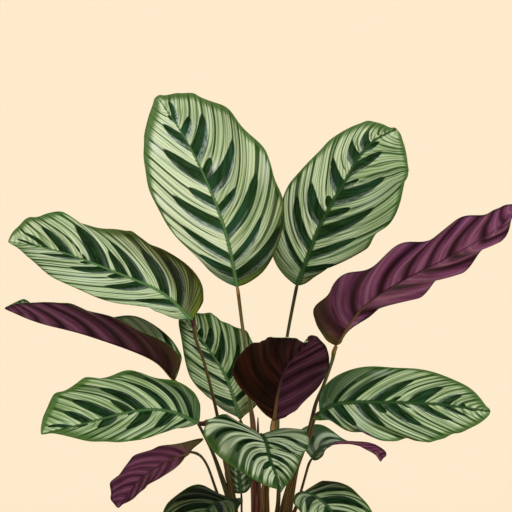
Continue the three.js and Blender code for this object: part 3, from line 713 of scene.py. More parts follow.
class Blade:
    """A leaf's surface: a point for each turn from base to tip and each place across it."""

    def __init__(self, leaf, number):
        self.leaf = leaf
        self.midrib = Midrib(leaf.midrib)
        self.faces = [Vector(f) for f in leaf.face]
        self.vein_shift = VEIN_SHIFT * number
        self.rows = {}

    def row(self, turn, side):
        """What all points of one side vein share: its start, its end, the half width and the rise."""
        key = (round(turn, 6), side)
        if key not in self.rows:
            half = self.leaf.right if side > 0 else self.leaf.left
            length = self.midrib.length
            reach = 0.5 - 0.5 * math.cos(math.pi * turn)
            swept = reach ** (VEIN_BASE_POWER + VEIN_POWER_GROWTH * reach)
            start = length * (reach - self.leaf.sweep * (reach - swept))
            back, fade = half.lobe
            lobe = back * (reach / fade) * math.exp(1 - reach / fade)
            width = smooth_through([0, *half.half, 0], turn)
            ends = min(BUMP_FADE * turn, BUMP_FADE * (1 - turn), 1)
            width += ends * sum(h * math.exp(-((turn - t) / spread) ** 2) for t, spread, h in half.bumps)
            height, waves, phase = half.ripple
            wave = height * math.sin(2 * math.pi * (waves * turn + phase)) * math.sin(math.pi * turn)
            rise = smooth_through([0, *half.lift, 0], turn) + wave
            self.rows[key] = (start, length * (reach - lobe), width, rise)
        return self.rows[key]

    def look(self, along, direction):
        """The way the upper face looks at a distance along the midrib."""
        look = blend_steps(self.faces, along / self.midrib.length)
        return (look - direction * look.dot(direction)).normalized()

    def across(self, half, turn, out, width):
        """How far a point lies from the midrib and above the half's own plane, with its curls."""
        for place, spread, inner, degrees in half.curls:
            bend = math.radians(degrees) * math.exp(-((turn - place) / spread) ** 2)
            if out > inner and abs(bend) > LEAST_CURL:
                angle = bend * (out - inner) / (1 - inner)
                radius = (out - inner) * width / angle
                return inner * width + radius * math.sin(angle), radius * (1 - math.cos(angle))
        return out * width, 0

    def markings(self, place, out, half):
        """How near a point is to a feather, that feather's reach, and the count and gap of feathers."""
        centres = [
            start + (end - start) * min(out / reach, 1)
            for start, end, reach, _ in half.feathers
        ]
        nearness = [abs(place - c) / f[3] for c, f in zip(centres, half.feathers)]
        nearest = min(range(len(nearness)), key=nearness.__getitem__)
        index = sum(1 for c in centres if c < place)
        if index == 0:
            gap = max(centres[0], BASE_FEATHER_GAP)
            count = (place - centres[0]) / gap
        elif index == len(centres):
            gap = TIP_FEATHER_GAP
            count = index - 1 + (place - centres[-1]) / gap
        else:
            gap = max(centres[index] - centres[index - 1], LEAST_FEATHER_GAP)
            count = index - 1 + (place - centres[index - 1]) / gap
        reach = half.feathers[nearest][2]
        return min(nearness[nearest], FAR_FROM_FEATHER), reach, count, gap * self.midrib.length

    def point(self, turn, across):
        """The point of the surface in millimetres, and what the finish needs to know there."""
        side = -1 if across < 0 else 1
        out = abs(across)
        leaf = self.leaf
        half = leaf.right if side > 0 else leaf.left
        start, end, width, rise = self.row(turn, side)
        along = start + (end - start) * ((1 - VEIN_EDGE_BEND) * out + VEIN_EDGE_BEND * out ** 3)
        share = along / self.midrib.length
        middle, direction = self.midrib.at(along)
        normal = self.look(along, direction)
        sideways = direction.cross(normal) * side
        fold = math.radians(blend_steps(half.fold, share))
        place = start / self.midrib.length
        nearness, reach, count, gap = self.markings(place, out, half)
        lift = rise * out ** 2
        # Pleats fade out at the midrib, at the edge and towards both ends
        base_fade, tip_fade = PLEAT_FADES
        ends = min(turn * base_fade, 1) * min((1 - turn) * tip_fade, 1)
        lift += leaf.pleat * math.cos(2 * math.pi * count) * 4 * out * (1 - out) * ends
        distance = out * width
        level, roll = self.across(half, turn, out, width)
        lift += roll
        spot = (
            middle
            + sideways * (level * math.cos(fold) - lift * math.sin(fold))
            + normal * (level * math.sin(fold) + lift * math.cos(fold))
        )
        rib_radius = max(leaf.stem_radius * (1 - RIB_TAPER * share), RIB_LEAST_RADIUS)
        vein = (start + end) / 2 + half.lean * out * self.midrib.length + self.vein_shift
        olive = flush(half.olive, place, FLUSH_AT_MIDRIB + (1 - FLUSH_AT_MIDRIB) * out)
        return spot, {
            "vein": (place, across),
            "feather": (nearness, reach, count),
            "edge": (distance, width - distance - half.hem, vein),
            "tone": (half.pale, olive, half.sheen),
            "cast": (flush(half.brown, place), leaf.shade, leaf.fade),
            "lines": (leaf.lines, leaf.rib_light, leaf.dusk),
            "bands": (gap, rib_radius, flush(half.dark, place)),
        }


# ---- Making pieces ----

def pick(*pieces):
    """Selects these pieces alone."""
    bpy.ops.object.select_all(action="DESELECT")
    for piece in pieces:
        piece.select_set(True)
    bpy.context.view_layer.objects.active = pieces[0]


def grid(name, columns, rows, place_vertex):
    """A grid whose vertices are put in place by a rule on their share across and along it."""
    bpy.ops.mesh.primitive_grid_add(x_subdivisions=columns, y_subdivisions=rows, size=2)
    piece = bpy.context.object
    piece.name = name
    piece.data.name = name
    for vertex in piece.data.vertices:
        vertex.co = place_vertex((vertex.co.x + 1) / 2, (vertex.co.y + 1) / 2) * MM
    return piece


def sealed(piece):
    """Merges the vertices that lie in one place, which closes seams and poles."""
    pick(piece)
    bpy.ops.object.mode_set(mode="EDIT")
    bpy.ops.mesh.select_all(action="SELECT")
    bpy.ops.mesh.remove_doubles(threshold=1e-6)
    bpy.ops.object.mode_set(mode="OBJECT")
    return piece


def store(piece, name, kind, values):
    """Keeps a value for each vertex of a piece."""
    attribute = piece.data.attributes.new(name, kind, "POINT")
    size = len(values[0])
    attribute.data.foreach_set("color" if size == 4 else "vector", [x for v in values for x in v])


def joined(name, pieces):
    """Several pieces joined into one."""
    pick(*pieces)
    bpy.ops.object.join()
    pieces[0].name = name
    return pieces[0]


def finished(piece, slot, *nodes):
    """Smooths a piece, lets it ride on the plant and stand for its CAD nodes."""
    pick(piece)
    bpy.ops.object.shade_smooth()
    bpy.ops.object.select_all(action="DESELECT")
    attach(piece, BODY)
    if nodes:
        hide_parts(*nodes)
    return piece


def round_end(share, cap=END_CAP):
    """How broad a tube is near its two rounded ends, as a share of its breadth."""
    inside = min(min(share, 1 - share) / cap, 1)
    return math.sqrt(1 - (1 - inside) ** 2)


def tube(name, knots, sides, rings, cap=END_CAP, seam=0.0):
    """A closed round tube through (x, y, z, radius) knots.

    The seam makes a step down its wall, as on a roll.
    """
    centres = [Vector(k[:3]) for k in knots]
    radii = [k[3] for k in knots]

    def place_vertex(x, y):
        centre = smooth_through(centres, y)
        after = smooth_through(centres, min(y + 0.005, 1))
        ahead = (after - smooth_through(centres, max(y - 0.005, 0))).normalized()
        spot = y * (len(radii) - 1)
        index = min(int(spot), len(radii) - 2)
        radius = radii[index] + (radii[index + 1] - radii[index]) * (spot - index)
        radius *= round_end(y, cap) * (1 + seam * (x % 1))
        across = ahead.cross(Vector((0, 1, 0))).normalized()
        other = ahead.cross(across)
        angle = 2 * math.pi * x
        return centre + (across * math.cos(angle) + other * math.sin(angle)) * radius

    return sealed(grid(name, sides, rings, place_vertex))


# ---- Finishes ----

class Wire:
    """A number carried by a socket, on which ordinary sums add Math nodes."""

    def __init__(self, finish, socket):
        self.finish = finish
        self.socket = socket

    def maths(self, operation, *others):
        return self.finish.maths(operation, self, *others)

    def __add__(self, other):
        return self.maths("ADD", other)

    def __sub__(self, other):
        return self.maths("SUBTRACT", other)

    def __mul__(self, other):
        return self.maths("MULTIPLY", other)

    def __truediv__(self, other):
        return self.maths("DIVIDE", other)

    def __pow__(self, other):
        return self.maths("POWER", other)

    def __abs__(self):
        return self.maths("ABSOLUTE")

    def __rsub__(self, other):
        return self.finish.maths("SUBTRACT", other, self)

    __radd__ = __add__
    __rmul__ = __mul__

    def part(self):
        """What is left of the number above the last whole one."""
        return self.maths("FRACT")


class Finish:
    """A material and the means to build its nodes."""

    SOCKETS = {"base": "Base Color", "roughness": "Roughness", "normal": "Normal"}

    def __init__(self, name, shine=0.12):
        self.material = bpy.data.materials.new(name)
        self.material.use_nodes = True
        self.tree = self.material.node_tree
        self.surface = self.tree.nodes["Principled BSDF"]
        self.surface.inputs["Specular IOR Level"].default_value = shine

    def node(self, kind, settings=None, inputs=None):
        made = self.tree.nodes.new(kind)
        for key, value in (settings or {}).items():
            setattr(made, key, value)
        for key, value in (inputs or {}).items():
            self.feed(made.inputs[key], value)
        return made

    def feed(self, socket, value):
        if isinstance(value, Wire):
            self.tree.links.new(value.socket, socket)
        elif isinstance(value, bpy.types.NodeSocket):
            self.tree.links.new(value, socket)
        else:
            socket.default_value = value

    def maths(self, operation, *values):
        made = self.node("ShaderNodeMath", {"operation": operation}, dict(enumerate(values)))
        return Wire(self, made.outputs[0])

    def smooth(self, low, high, value):
        """0 below low, 1 above high, and a smooth step between them."""
        inputs = {"Value": value, "From Min": low, "From Max": high}
        made = self.node("ShaderNodeMapRange", {"interpolation_type": "SMOOTHSTEP"}, inputs)
        return Wire(self, made.outputs[0])

    def split(self, socket):
        made = self.node("ShaderNodeSeparateXYZ", inputs={0: socket})
        return [Wire(self, out) for out in made.outputs]

    def attribute(self, name):
        return self.split(self.node("ShaderNodeAttribute", {"attribute_name": name}).outputs["Vector"])

    def map(self, name):
        """The two shares of a piece's own map."""
        return self.split(self.node("ShaderNodeUVMap", {"uv_map": name}).outputs[0])[:2]

    def position(self):
        """Where a point of the piece lies, in metres."""
        return self.node("ShaderNodeTexCoord").outputs["Object"]

    def vector(self, x, y, z=0.0):
        return self.node("ShaderNodeCombineXYZ", inputs={0: x, 1: y, 2: z}).outputs[0]

    def noise(self, vector, scale=1.0, detail=2.0, roughness=0.5):
        inputs = {"Vector": vector, "Scale": scale, "Detail": detail, "Roughness": roughness}
        return Wire(self, self.node("ShaderNodeTexNoise", inputs=inputs).outputs[0])

    def mix(self, factor, first, second):
        colours = [colour(c) if isinstance(c, str) else c for c in (first, second)]
        settings = {"data_type": "RGBA", "blend_type": "MIX"}
        return self.node("ShaderNodeMix", settings, {0: factor, 6: colours[0], 7: colours[1]}).outputs[2]

    def dim(self, tint, amount):
        """A colour multiplied by a number."""
        inputs = {0: tint, "Scale": amount}
        return self.node("ShaderNodeVectorMath", {"operation": "SCALE"}, inputs).outputs[0]

    def set(self, **values):
        for key, value in values.items():
            self.feed(self.surface.inputs[self.SOCKETS[key]], value)

    def bump(self, height, distance):
        inputs = {"Height": height, "Distance": distance, "Strength": 1.0}
        return self.node("ShaderNodeBump", inputs=inputs).outputs[0]


class FaceFinish(Finish):
    """The finish of one face of a blade, which knows where it is between the veins and feathers."""

    def __init__(self, name, shine):
        super().__init__(name, shine)
        self.place, self.across = self.map("vein")
        self.nearness, self.reach, self.count = self.attribute("feather")
        self.distance, self.rim, self.vein = self.attribute("edge")
        self.pale_share, self.olive, self.sheen = self.attribute("tone")
        self.brown, self.shade, self.fade = self.attribute("cast")
        self.lines, self.rib_light, self.dusk = self.attribute("lines")
        self.gap, self.rib_radius, self.dark = self.attribute("bands")

    def streaks(self, fineness, cross, layer=0.0, detail=2, roughness=0.5):
        """Noise drawn out along the side veins, with so many steps in a millimetre of the midrib."""
        spot = self.vector(self.vein * fineness, self.across * cross, layer)
        return self.noise(spot, detail=detail, roughness=roughness)


def upper_face_finish():
    """Pale stripes and dark feathers along the side veins, with a green edge and midrib."""
    finish = FaceFinish("leaf_upper_face", shine=0.03)
    smooth, mix = finish.smooth, finish.mix
    place, nearness, count, gap = finish.place, finish.nearness, finish.count, finish.gap
    rim, olive, sheen, lines = finish.rim, finish.olive, finish.sheen, finish.lines
    out = abs(finish.across * 2 - 1)

    # Fine streaks along the side veins, a few millimetres apart, wavering and of uneven strength
    waver = finish.streaks(0.09, 1.4, detail=1)
    uneven = finish.streaks(0.31, 0.8, 11, detail=1)
    fine = finish.streaks(0.75, 1.6, 5)
    cloud = finish.streaks(0.07, 3, 9)
    streak = finish.streaks(1.2, 2.4, 23)
    blotch = finish.streaks(0.3, 5, 17, detail=3, roughness=0.65)
    near_edge = 1 - smooth(0.5, 12.0, rim)
    off_line = abs((finish.vein / VEIN_SPACING + waver * 2.4).part() - 0.5) * 2
    strength = smooth(0.32, 0.62, uneven)
    thick = lines * 0.12 + 0.26 + near_edge * 0.15 + olive * 0.55
    toward_tip = 1 - smooth(0.87, 0.98, place)
    line = (1 - smooth(0.04, thick, off_line)) * (strength ** 2 * 0.8 + 0.12 + olive * 0.7) * toward_tip

    creamy = finish.pale_share + (cloud - 0.5) * 0.8 + (off_line - 0.5) * 0.4
    pale = mix(smooth(0, 1, creamy), "green_stripe", "cream_stripe")
    pale = mix(smooth(0.5, 0.68, fine) * 0.35, pale, "leaf_green")
    pale = mix(line * 0.75, pale, "line_green")
    pale = mix(olive, pale, mix(line * 0.9, "tan_olive", "brown_black"))
    pale = mix(finish.fade * 0.8, pale, "grey_green")

    # Dark bands run from the feathers to the edge, and a slimmer one halfway between two feathers
    tail_off = abs((count + 0.5).part() - 0.5) * gap
    tail_breadth = lines * (out * 0.8 + 1.5)
    tail = 1 - smooth(tail_breadth * 0.6, tail_breadth * 1.3, tail_off + (streak - 0.5) * 0.8)
    tail = tail * smooth(0.2, 0.45, out)
    half_off = abs(count.part() - 0.5) * gap
    half_off = half_off + (waver - 0.5) * 3 + (streak - 0.5) * 0.9
    half_breadth = lines * (out * 0.5 + 0.8)
    halfway = 1 - smooth(half_breadth * 0.4, half_breadth * 1.3, abs(half_off))
    halfway = halfway * smooth(7, 13, gap) * smooth(0.05, 0.35, out)
    band = finish.maths("MAXIMUM", tail, halfway * 0.9) * toward_tip
    band_tint = mix(olive, "tail_green", "brown_black")
    pale = mix(band * 0.92, pale, band_tint)

    # Feathers, with a blunt end
    along = out / finish.reach
    full = 1.2 - smooth(0.5, 1.0, along) * 0.24
    inside = (nearness / full) ** 2 + along ** 6 + (fine - 0.5) * 0.45 + (waver - 0.5) * 0.3
    feather = 1 - smooth(0.78, 1.12, inside)
    # The sheen share lightens the feathers and adds blue green patches: painted sheen. The blotches are the
    # feathers' own uneven tone
    lighter = smooth(0.4, 0.65, blotch) * 0.55 + sheen * 0.3
    deep = mix(lighter, "feather_black", "feather_green")
    deep = mix(smooth(0.42, 0.68, cloud) * (sheen * 0.5 + 0.06), deep, "blue_green")
    deep = mix(smooth(0.4, 0.95, inside) * 0.6, deep, "feather_black")
    deep = mix(olive * 0.8, deep, "brown_black")
    tint = mix(feather * (1 - finish.fade * 0.5), pale, deep)

    # Painted highlight: a silvery sheen is painted along the side of each feather that faces the stem
    painted_sheen = smooth(0.45, 0.6, count.part()) * smooth(0.3, 0.8, nearness) * (1 - smooth(1.3, 1.8, nearness))
    grain = finish.streaks(0.6, 22, 31, roughness=0.6)
    painted_sheen = painted_sheen * (1 - smooth(0.6, 1.3, along)) * (smooth(0.3, 0.65, grain) * 0.75 + 0.1)
    painted_sheen = painted_sheen * smooth(0.3, 0.55, waver)
    tint = mix(painted_sheen * sheen, tint, "sheen_highlight_green")

    # The blade is darker near its base, and painted highlights lie as glossy patches on the pale stripes
    tint = mix(finish.dark * (1 - band * 0.5), tint, mix(feather, "base_green", "feather_black"))
    start = (1 - smooth(0.005, 0.045, place + (blotch - 0.5) * 0.03)) * 0.8
    tint = mix(start, tint, mix(olive, "blue_green", "gold_olive"))
    # Painted highlight: whitish glossy patches on the pale stripes, stronger where the sheen is
    patch = finish.streaks(0.03, 2.2, 41)
    tint = mix(smooth(0.52, 0.72, patch) * sheen * (1 - feather) * 0.5, tint, "painted_gloss")

    # The green edge, which the stripes fade into
    reach_in = cloud * 1.5 + 1.4 + band * 2.5 + olive * 5 + line * 1.5
    edge = 1 - smooth(reach_in * 0.3, reach_in + 1.0, rim)
    rim_tint = mix(smooth(0.4, 0.65, uneven) * 0.5, "edge_green", "gold_green")
    tint = mix(edge * 0.92, tint, mix(olive, rim_tint, "olive"))
    tint = mix(band * edge * smooth(0.0, 2.5, rim) * 0.8, tint, band_tint)

    # A dark band beside the midrib, from which the pale stripes start in points
    rib = finish.distance / finish.rib_radius
    beside_breadth = 4.6 - place * 2.4 - finish.rib_light * 1.6
    beside = 1 - smooth(beside_breadth * 0.55, beside_breadth, finish.distance + off_line * 0.6)
    tint = mix(beside * 0.9, tint, mix(finish.rib_light, "tail_green", "edge_green"))
    middle = 1 - smooth(0.45, 0.95, rib)
    tint = mix(middle * 0.9, tint, mix(finish.rib_light, "rib_dark", "rib_pale"))

    height = smooth(0.0, 1.3, nearness) * 0.5 + smooth(0.0, 0.7, off_line) * 0.25 + middle * 0.5
    # The shade darkens the whole upper face: painted shade
    finish.set(
        base=finish.dim(tint, finish.shade),
        roughness=0.5 - feather * 0.08 + line * 0.05,
        normal=finish.bump(height, FACE_RELIEF),
    )
    return finish.material


def under_face_finish():
    """The purple underside, banded along the side veins: painted highlights on the pleats' crests,
    and darker bands at the feathers, partly the faint feather pattern and partly painted shade.
    """
    finish = FaceFinish("leaf_underside", shine=0.05)
    smooth, mix = finish.smooth, finish.mix
    streak = finish.streaks(0.14, 2.5, 3)
    fine = finish.streaks(0.55, 3, 6)
    fold = abs(finish.count.part() - 0.5) * 2
    crest_highlight = 1 - smooth(0.04, 0.16, fold)
    fold = fold + (streak - 0.5) * 0.5
    # How dark the folds at the feathers get, more where the feathers lie far apart: partly the faint
    # feather pattern, partly painted shade
    depth = smooth(12, 30, finish.gap) * 0.45 + 0.5

    plum = mix(smooth(0.3, 0.7, streak), "purple", "purple_light")
    # Painted highlight on the crests between the feathers, darker at the feathers (partly pattern, partly
    # painted shade), and painted highlight lines along the crests
    plum = mix((1 - smooth(0.0, 0.4, fold)) * 0.6, plum, "purple_light")
    plum = mix(smooth(0.4, 0.95, fold) * depth, plum, "purple_dark")
    plum = mix(crest_highlight * 0.4, plum, "purple_highlight")
    umber = mix(smooth(0.35, 0.7, streak), "brown_black", "red_brown")
    # The brown darkens at the feathers too: partly the feather pattern, partly painted shade in the folds
    umber = mix(smooth(0.5, 1.0, fold) * 0.6, umber, "brown_black")
    tint = mix(finish.brown, plum, umber)
    # The olive flush darkens towards the feathers: partly painted shade in the folds
    tint = mix(finish.olive * 0.9, tint, mix(fold * 0.6, "tan_olive", "olive"))
    tint = mix(smooth(0.52, 0.7, fine) * 0.35, tint, "purple_dark")
    tint = mix((1 - smooth(0.4, 1.6, finish.rim)) * 0.6, tint, "brown_black")
    # The dusk scales the whole underside: painted shade below one, painted light above one
    finish.set(
        base=finish.dim(tint, finish.dusk),
        roughness=0.52 - fine * 0.08,
        normal=finish.bump(fine * 0.3 - fold * 0.7, FACE_RELIEF),
    )
    return finish.material


def rib_finish():
    """The raised midrib on the underside, tan near the stem and purple further out."""
    finish = Finish("leaf_midrib")
    grain = finish.noise(finish.position(), scale=900.0)
    along = finish.map("vein")[1]
    inner = finish.mix(grain, "olive_brown", "tan")
    outer = finish.mix(grain, "purple_dark", "purple")
    finish.set(base=finish.mix(finish.smooth(0.05, 0.4, along), inner, outer), roughness=0.45)
    return finish.material


def stem_finish():
    """Smooth petioles, in the colours kept along them, with fine lengthwise streaks."""
    finish = Finish("stem")
    tint = finish.node("ShaderNodeAttribute", {"attribute_name": "stem_colour"}).outputs["Color"]
    x, y, z = finish.split(finish.position())
    streak = finish.noise(finish.vector(x * 900, y * 900, z * 25), detail=3)
    around = finish.map("UVMap")[0] * (2 * math.pi)
    ring = finish.vector(around.maths("SINE") * 2 + x * 30, around.maths("COSINE") * 2, z * 14)
    stripe = finish.smooth(0.36, 0.62, finish.noise(ring, detail=1))
    finish.set(
        base=finish.dim(tint, stripe * 1.1 + streak * 1.4 - 0.15),
        roughness=0.38 + streak * 0.1,
        normal=finish.bump(streak, 0.4 * MM),
    )
    return finish.material


def rolled_leaf_finish():
    """The rolled new leaf: dark, with olive brown streaks."""
    finish = Finish("rolled_leaf")
    x, y, z = finish.split(finish.position())
    streak = finish.smooth(0.4, 0.6, finish.noise(finish.vector(x * 1500, y * 1500, z * 90)))
    finish.set(base=finish.mix(streak, "brown_black", "olive_brown"), roughness=0.45)
    return finish.material


def soil_finish():
    """Dark, crumbly potting soil."""
    finish = Finish("soil_crumb")
    spot = finish.position()
    crumb = finish.noise(spot, scale=320.0, detail=5, roughness=0.65)
    patch = finish.noise(spot, scale=60.0)
    tint = finish.mix(finish.smooth(0.35, 0.70, crumb * 0.6 + patch * 0.4), "soil_dark", "soil_light")
    finish.set(base=tint, roughness=0.95, normal=finish.bump(crumb, 3 * MM))
    return finish.material


def chip_finish(name, light, dark):
    """Bark or perlite lying in the soil."""
    finish = Finish(name)
    grain = finish.noise(finish.position(), scale=500.0, detail=3)
    finish.set(base=finish.mix(grain, dark, light), roughness=0.9, normal=finish.bump(grain, MM))
    return finish.material


def pot_finish():
    """Matt terracotta-coloured plastic, with a faint mottle."""
    finish = Finish("pot_shell")
    spot = finish.position()
    mottle = finish.noise(spot, scale=25.0, detail=4)
    grain = finish.noise(spot, scale=1600.0)
    tint = finish.mix(finish.smooth(0.3, 0.75, mottle), "terracotta_dark", "terracotta")
    finish.set(base=tint, roughness=0.62 + mottle * 0.15, normal=finish.bump(grain, 0.2 * MM))
    return finish.material


# ---- Leaves ----

def make_leaf(name, leaf, number, finishes):
    """One blade with its two faces, and its midrib standing out below."""
    blade = Blade(leaf, number)
    notes = []

    def place_vertex(x, y):
        spot, note = blade.point(y, 2 * x - 1)
        notes.append(note)
        return spot

    piece = grid(f"{name}_blade", BLADE_COLUMNS, BLADE_ROWS, place_vertex)
    mesh = piece.data
    for key in ("feather", "edge", "tone", "cast", "lines", "bands"):
        store(piece, key, "FLOAT_VECTOR", [note[key] for note in notes])
    layer = mesh.uv_layers[0]
    layer.name = "vein"
    for loop in mesh.loops:
        place, across = notes[loop.vertex_index]["vein"]
        layer.data[loop.index].uv = (place, 0.5 + 0.5 * across)
    sealed(piece)
    for finish in finishes:
        mesh.materials.append(finish)
    wall = piece.modifiers.new("wall", "SOLIDIFY")
    wall.thickness = BLADE_THICKNESS * MM
    wall.offset = 0
    wall.material_offset = 1
    bpy.ops.object.modifier_apply(modifier=wall.name)

    def place_rib_vertex(x, y):
        along = y * blade.midrib.length
        point, direction = blade.midrib.at(along)
        normal = blade.look(along, direction)
        radius = leaf.stem_radius + (MIDRIB_TIP_RADIUS - leaf.stem_radius) * y ** RIB_NARROWING
        radius *= round_end(y)
        across = math.cos(2 * math.pi * x) * radius * RIB_BREADTH
        height = math.sin(2 * math.pi * x)
        # Its upper side is nearly flat and stays inside the blade
        height *= RIB_DEPTH * radius + BLADE_THICKNESS / 2 if height < 0 else RIB_TOP
        return point + direction.cross(normal) * across + normal * height

    rib = sealed(grid(f"{name}_rib", columns=12, rows=72, place_vertex=place_rib_vertex))
    rib.data.uv_layers[0].name = "vein"
    rib.data.materials.append(finishes[2])
    return finished(joined(f"{name}_blade", [piece, rib]), "leaf", name)


# ---- Petioles ----

def seat(leaf_name):
    """Where a petiole meets its leaf, and the way it goes on there."""
    if leaf_name == "leaf_rolled":
        return Vector(ROLLED_LEAF[0][:3]) + Vector((0, 0, ROLLED_LEAF_SEAT)), Vector((0, 0, 1))
    return Midrib(LEAVES[leaf_name].midrib).at(0)


def make_petiole(petiole, foot, finish):
    """One petiole, from inside the base of its blade down to its crown."""
    point, direction = seat(petiole.leaf)
    ahead = (Vector(petiole.path[0][:3]) - point).normalized()
    joint = point + (ahead * (1 - PULVINUS_LEAN) - direction * PULVINUS_LEAN) * PULVINUS_LENGTH
    knots = [
        (*point, petiole.end_radius * PULVINUS_END_SHARE),
        (*joint, petiole.end_radius),
        *petiole.path,
        (*foot, SOIL_TOP - ROOT_DEPTH, CROWN_RADIUS * CROWN_ROOT_SHARE),
    ]
    piece = tube(f"{petiole.leaf}_petiole", knots, sides=14, rings=26 * len(knots), cap=0.01)
    tints = [Vector(colour(c)) for c in petiole.colours]
    pulvinus_tint = Vector(colour(petiole.pulvinus))
    fade_start, fade_length = PULVINUS_FADE
    kept = []
    for vertex in piece.data.vertices:
        spot = vertex.co / MM
        tint = blend_steps(tints, (point.z - spot.z) / (point.z - SOIL_TOP))
        beyond = ((spot - point).length / PULVINUS_LENGTH - fade_start) / fade_length
        kept.append(tuple(pulvinus_tint.lerp(tint, min(max(beyond, 0), 1))))
    store(piece, "stem_colour", "FLOAT_COLOR", kept)
    piece.data.materials.append(finish)
    return piece


def make_shoot(name, foot, petioles, finish):
    """A shoot: its petioles and the crown that they grow from."""
    crown_knots = [
        (*foot, SOIL_TOP - CROWN_DEPTH, CROWN_RADIUS * 0.9),
        (*foot, SOIL_TOP - CROWN_DEPTH / 2, CROWN_RADIUS),
        (*foot, SOIL_TOP, CROWN_RADIUS),
        (*foot, SOIL_TOP + CROWN_RISE, CROWN_RADIUS * 0.6),
    ]
    crown = tube(f"{name}_crown", crown_knots, sides=18, rings=24, cap=0.12)
    store(crown, "stem_colour", "FLOAT_COLOR", [colour("dark_olive")] * len(crown.data.vertices))
    crown.data.materials.append(finish)
    pieces = [make_petiole(p, foot, finish) for p in petioles]
    return finished(joined(f"{name}_petioles", [crown, *pieces]), "stem", name)


# ---- Pot and soil ----

def outer_radius(height):
    return POT_BASE_RADIUS + (POT_TOP_RADIUS - POT_BASE_RADIUS) * height / POT_HEIGHT


def inner_radius(height):
    return outer_radius(height) - POT_WALL


def soil_height(share):
    """The height of the mound's even form, at a share of the way out to the pot's wall."""
    return SOIL_TOP - SOIL_MOUND + SOIL_MOUND * math.cos(share * math.pi / 2) ** 2


def drill_drain_hole(pot, angle):
    """Takes a round hole out of the pot's floor, on the ring of drain holes."""
    bpy.ops.mesh.primitive_cylinder_add(
        vertices=24,
        radius=DRAIN_RADIUS * MM,
        depth=4 * POT_FLOOR * MM,
        location=(DRAIN_PITCH_RADIUS * math.cos(angle) * MM, DRAIN_PITCH_RADIUS * math.sin(angle) * MM, 0),
    )
    drill = bpy.context.object
    cut = pot.modifiers.new("drain_hole", "BOOLEAN")
    cut.operation = "DIFFERENCE"
    cut.solver = "EXACT"
    cut.object = drill
    bpy.context.view_layer.objects.active = pot
    bpy.ops.object.modifier_apply(modifier=cut.name)
    bpy.data.objects.remove(drill)


def make_pot(finish):
    """The pot, drawn up ring by ring from its underside, over its rim and down inside."""
    rim_foot = POT_HEIGHT - RIM_HEIGHT
    wall_at_rim = outer_radius(rim_foot)
    mouth = inner_radius(POT_HEIGHT)
    # Each ring's radius and height
    rings = [
        (POT_BASE_RADIUS - 1.5, 0),
        (POT_BASE_RADIUS - 0.4, 0.4),
        (POT_BASE_RADIUS, 1.5),
        (POT_BASE_RADIUS + (wall_at_rim - POT_BASE_RADIUS) * 0.5, rim_foot / 2),
        (wall_at_rim, rim_foot - 0.6),
        (wall_at_rim + 0.6, rim_foot),
        (RIM_RADIUS - 2.8, rim_foot + 0.6),
        (RIM_RADIUS - 1.6, rim_foot + 1.6),
        (RIM_RADIUS - 0.3, POT_HEIGHT - 2.6),
        (RIM_RADIUS - 0.5, POT_HEIGHT - 1.2),
        (RIM_RADIUS - 1.6, POT_HEIGHT - 0.3),
        (RIM_RADIUS - 3, POT_HEIGHT),
        (mouth + 1.4, POT_HEIGHT),
        (mouth + 0.4, POT_HEIGHT - 0.4),
        (mouth, POT_HEIGHT - 1.4),
        (inner_radius(POT_HEIGHT / 2), POT_HEIGHT / 2),
        (inner_radius(POT_FLOOR), POT_FLOOR),
    ]
    bpy.ops.mesh.primitive_circle_add(vertices=96, radius=rings[0][0] * MM, fill_type="NGON")
    piece = bpy.context.object
    bpy.ops.object.mode_set(mode="EDIT")
    bpy.ops.mesh.select_all(action="SELECT")
    bpy.ops.mesh.flip_normals()
    bpy.ops.mesh.select_mode(type="EDGE")
    bpy.ops.mesh.select_all(action="SELECT")
    for (before, low), (radius, high) in zip(rings, rings[1:]):
        bpy.ops.mesh.extrude_edges_move(TRANSFORM_OT_translate={"value": (0, 0, (high - low) * MM)})
        ratio = radius / before
        bpy.ops.transform.resize(value=(ratio, ratio, 1), center_override=(0, 0, 0))
    bpy.ops.mesh.edge_face_add()
    bpy.ops.mesh.select_all(action="SELECT")
    bpy.ops.mesh.normals_make_consistent(inside=False)
    bpy.ops.object.mode_set(mode="OBJECT")
    for number in range(DRAIN_HOLES):
        drill_drain_hole(piece, 2 * math.pi * (number + 0.5) / DRAIN_HOLES)
    pick(piece)
    bpy.ops.object.shade_smooth_by_angle(angle=HARD_EDGE)
    piece.data.materials.append(finish)
    piece.name = "pot_shell"
    return finished(piece, "pot", "pot")


def make_soil(finish):
    """The soil: a low mound with a crumbly, uneven top, and a plain underside."""
    edge = inner_radius(SOIL_TOP) - SOIL_GAP
    floor_radius = inner_radius(POT_FLOOR) - SOIL_GAP
    floor_share, wall_share = 0.1, 0.3  # where the underside and the side end, on the way round

    def place_vertex(x, y):
        angle = 2 * math.pi * x
        if y < floor_share:
            radius, z = floor_radius * y / floor_share, POT_FLOOR + SOIL_GAP
        elif y < wall_share:
            share = (y - floor_share) / (wall_share - floor_share)
            radius = floor_radius + (edge - floor_radius) * share
            z = POT_FLOOR + (SOIL_TOP - SOIL_MOUND - POT_FLOOR) * share
        else:
            share = (1 - y) / (1 - wall_share)
            radius = edge * share
            spot = Vector((radius * math.cos(angle), radius * math.sin(angle), 0))
            lumps = noise.fractal(spot * SOIL_LUMP_FINENESS, 0.9, 2.2, 5) * SOIL_LUMPS
            z = soil_height(share) + lumps * min((1 - share) * 8, 1)
        return Vector((radius * math.cos(angle), radius * math.sin(angle), z))

    piece = sealed(grid("soil_fill", columns=220, rows=150, place_vertex=place_vertex))
    piece.data.materials.append(finish)
    return finished(piece, "soil", "soil")


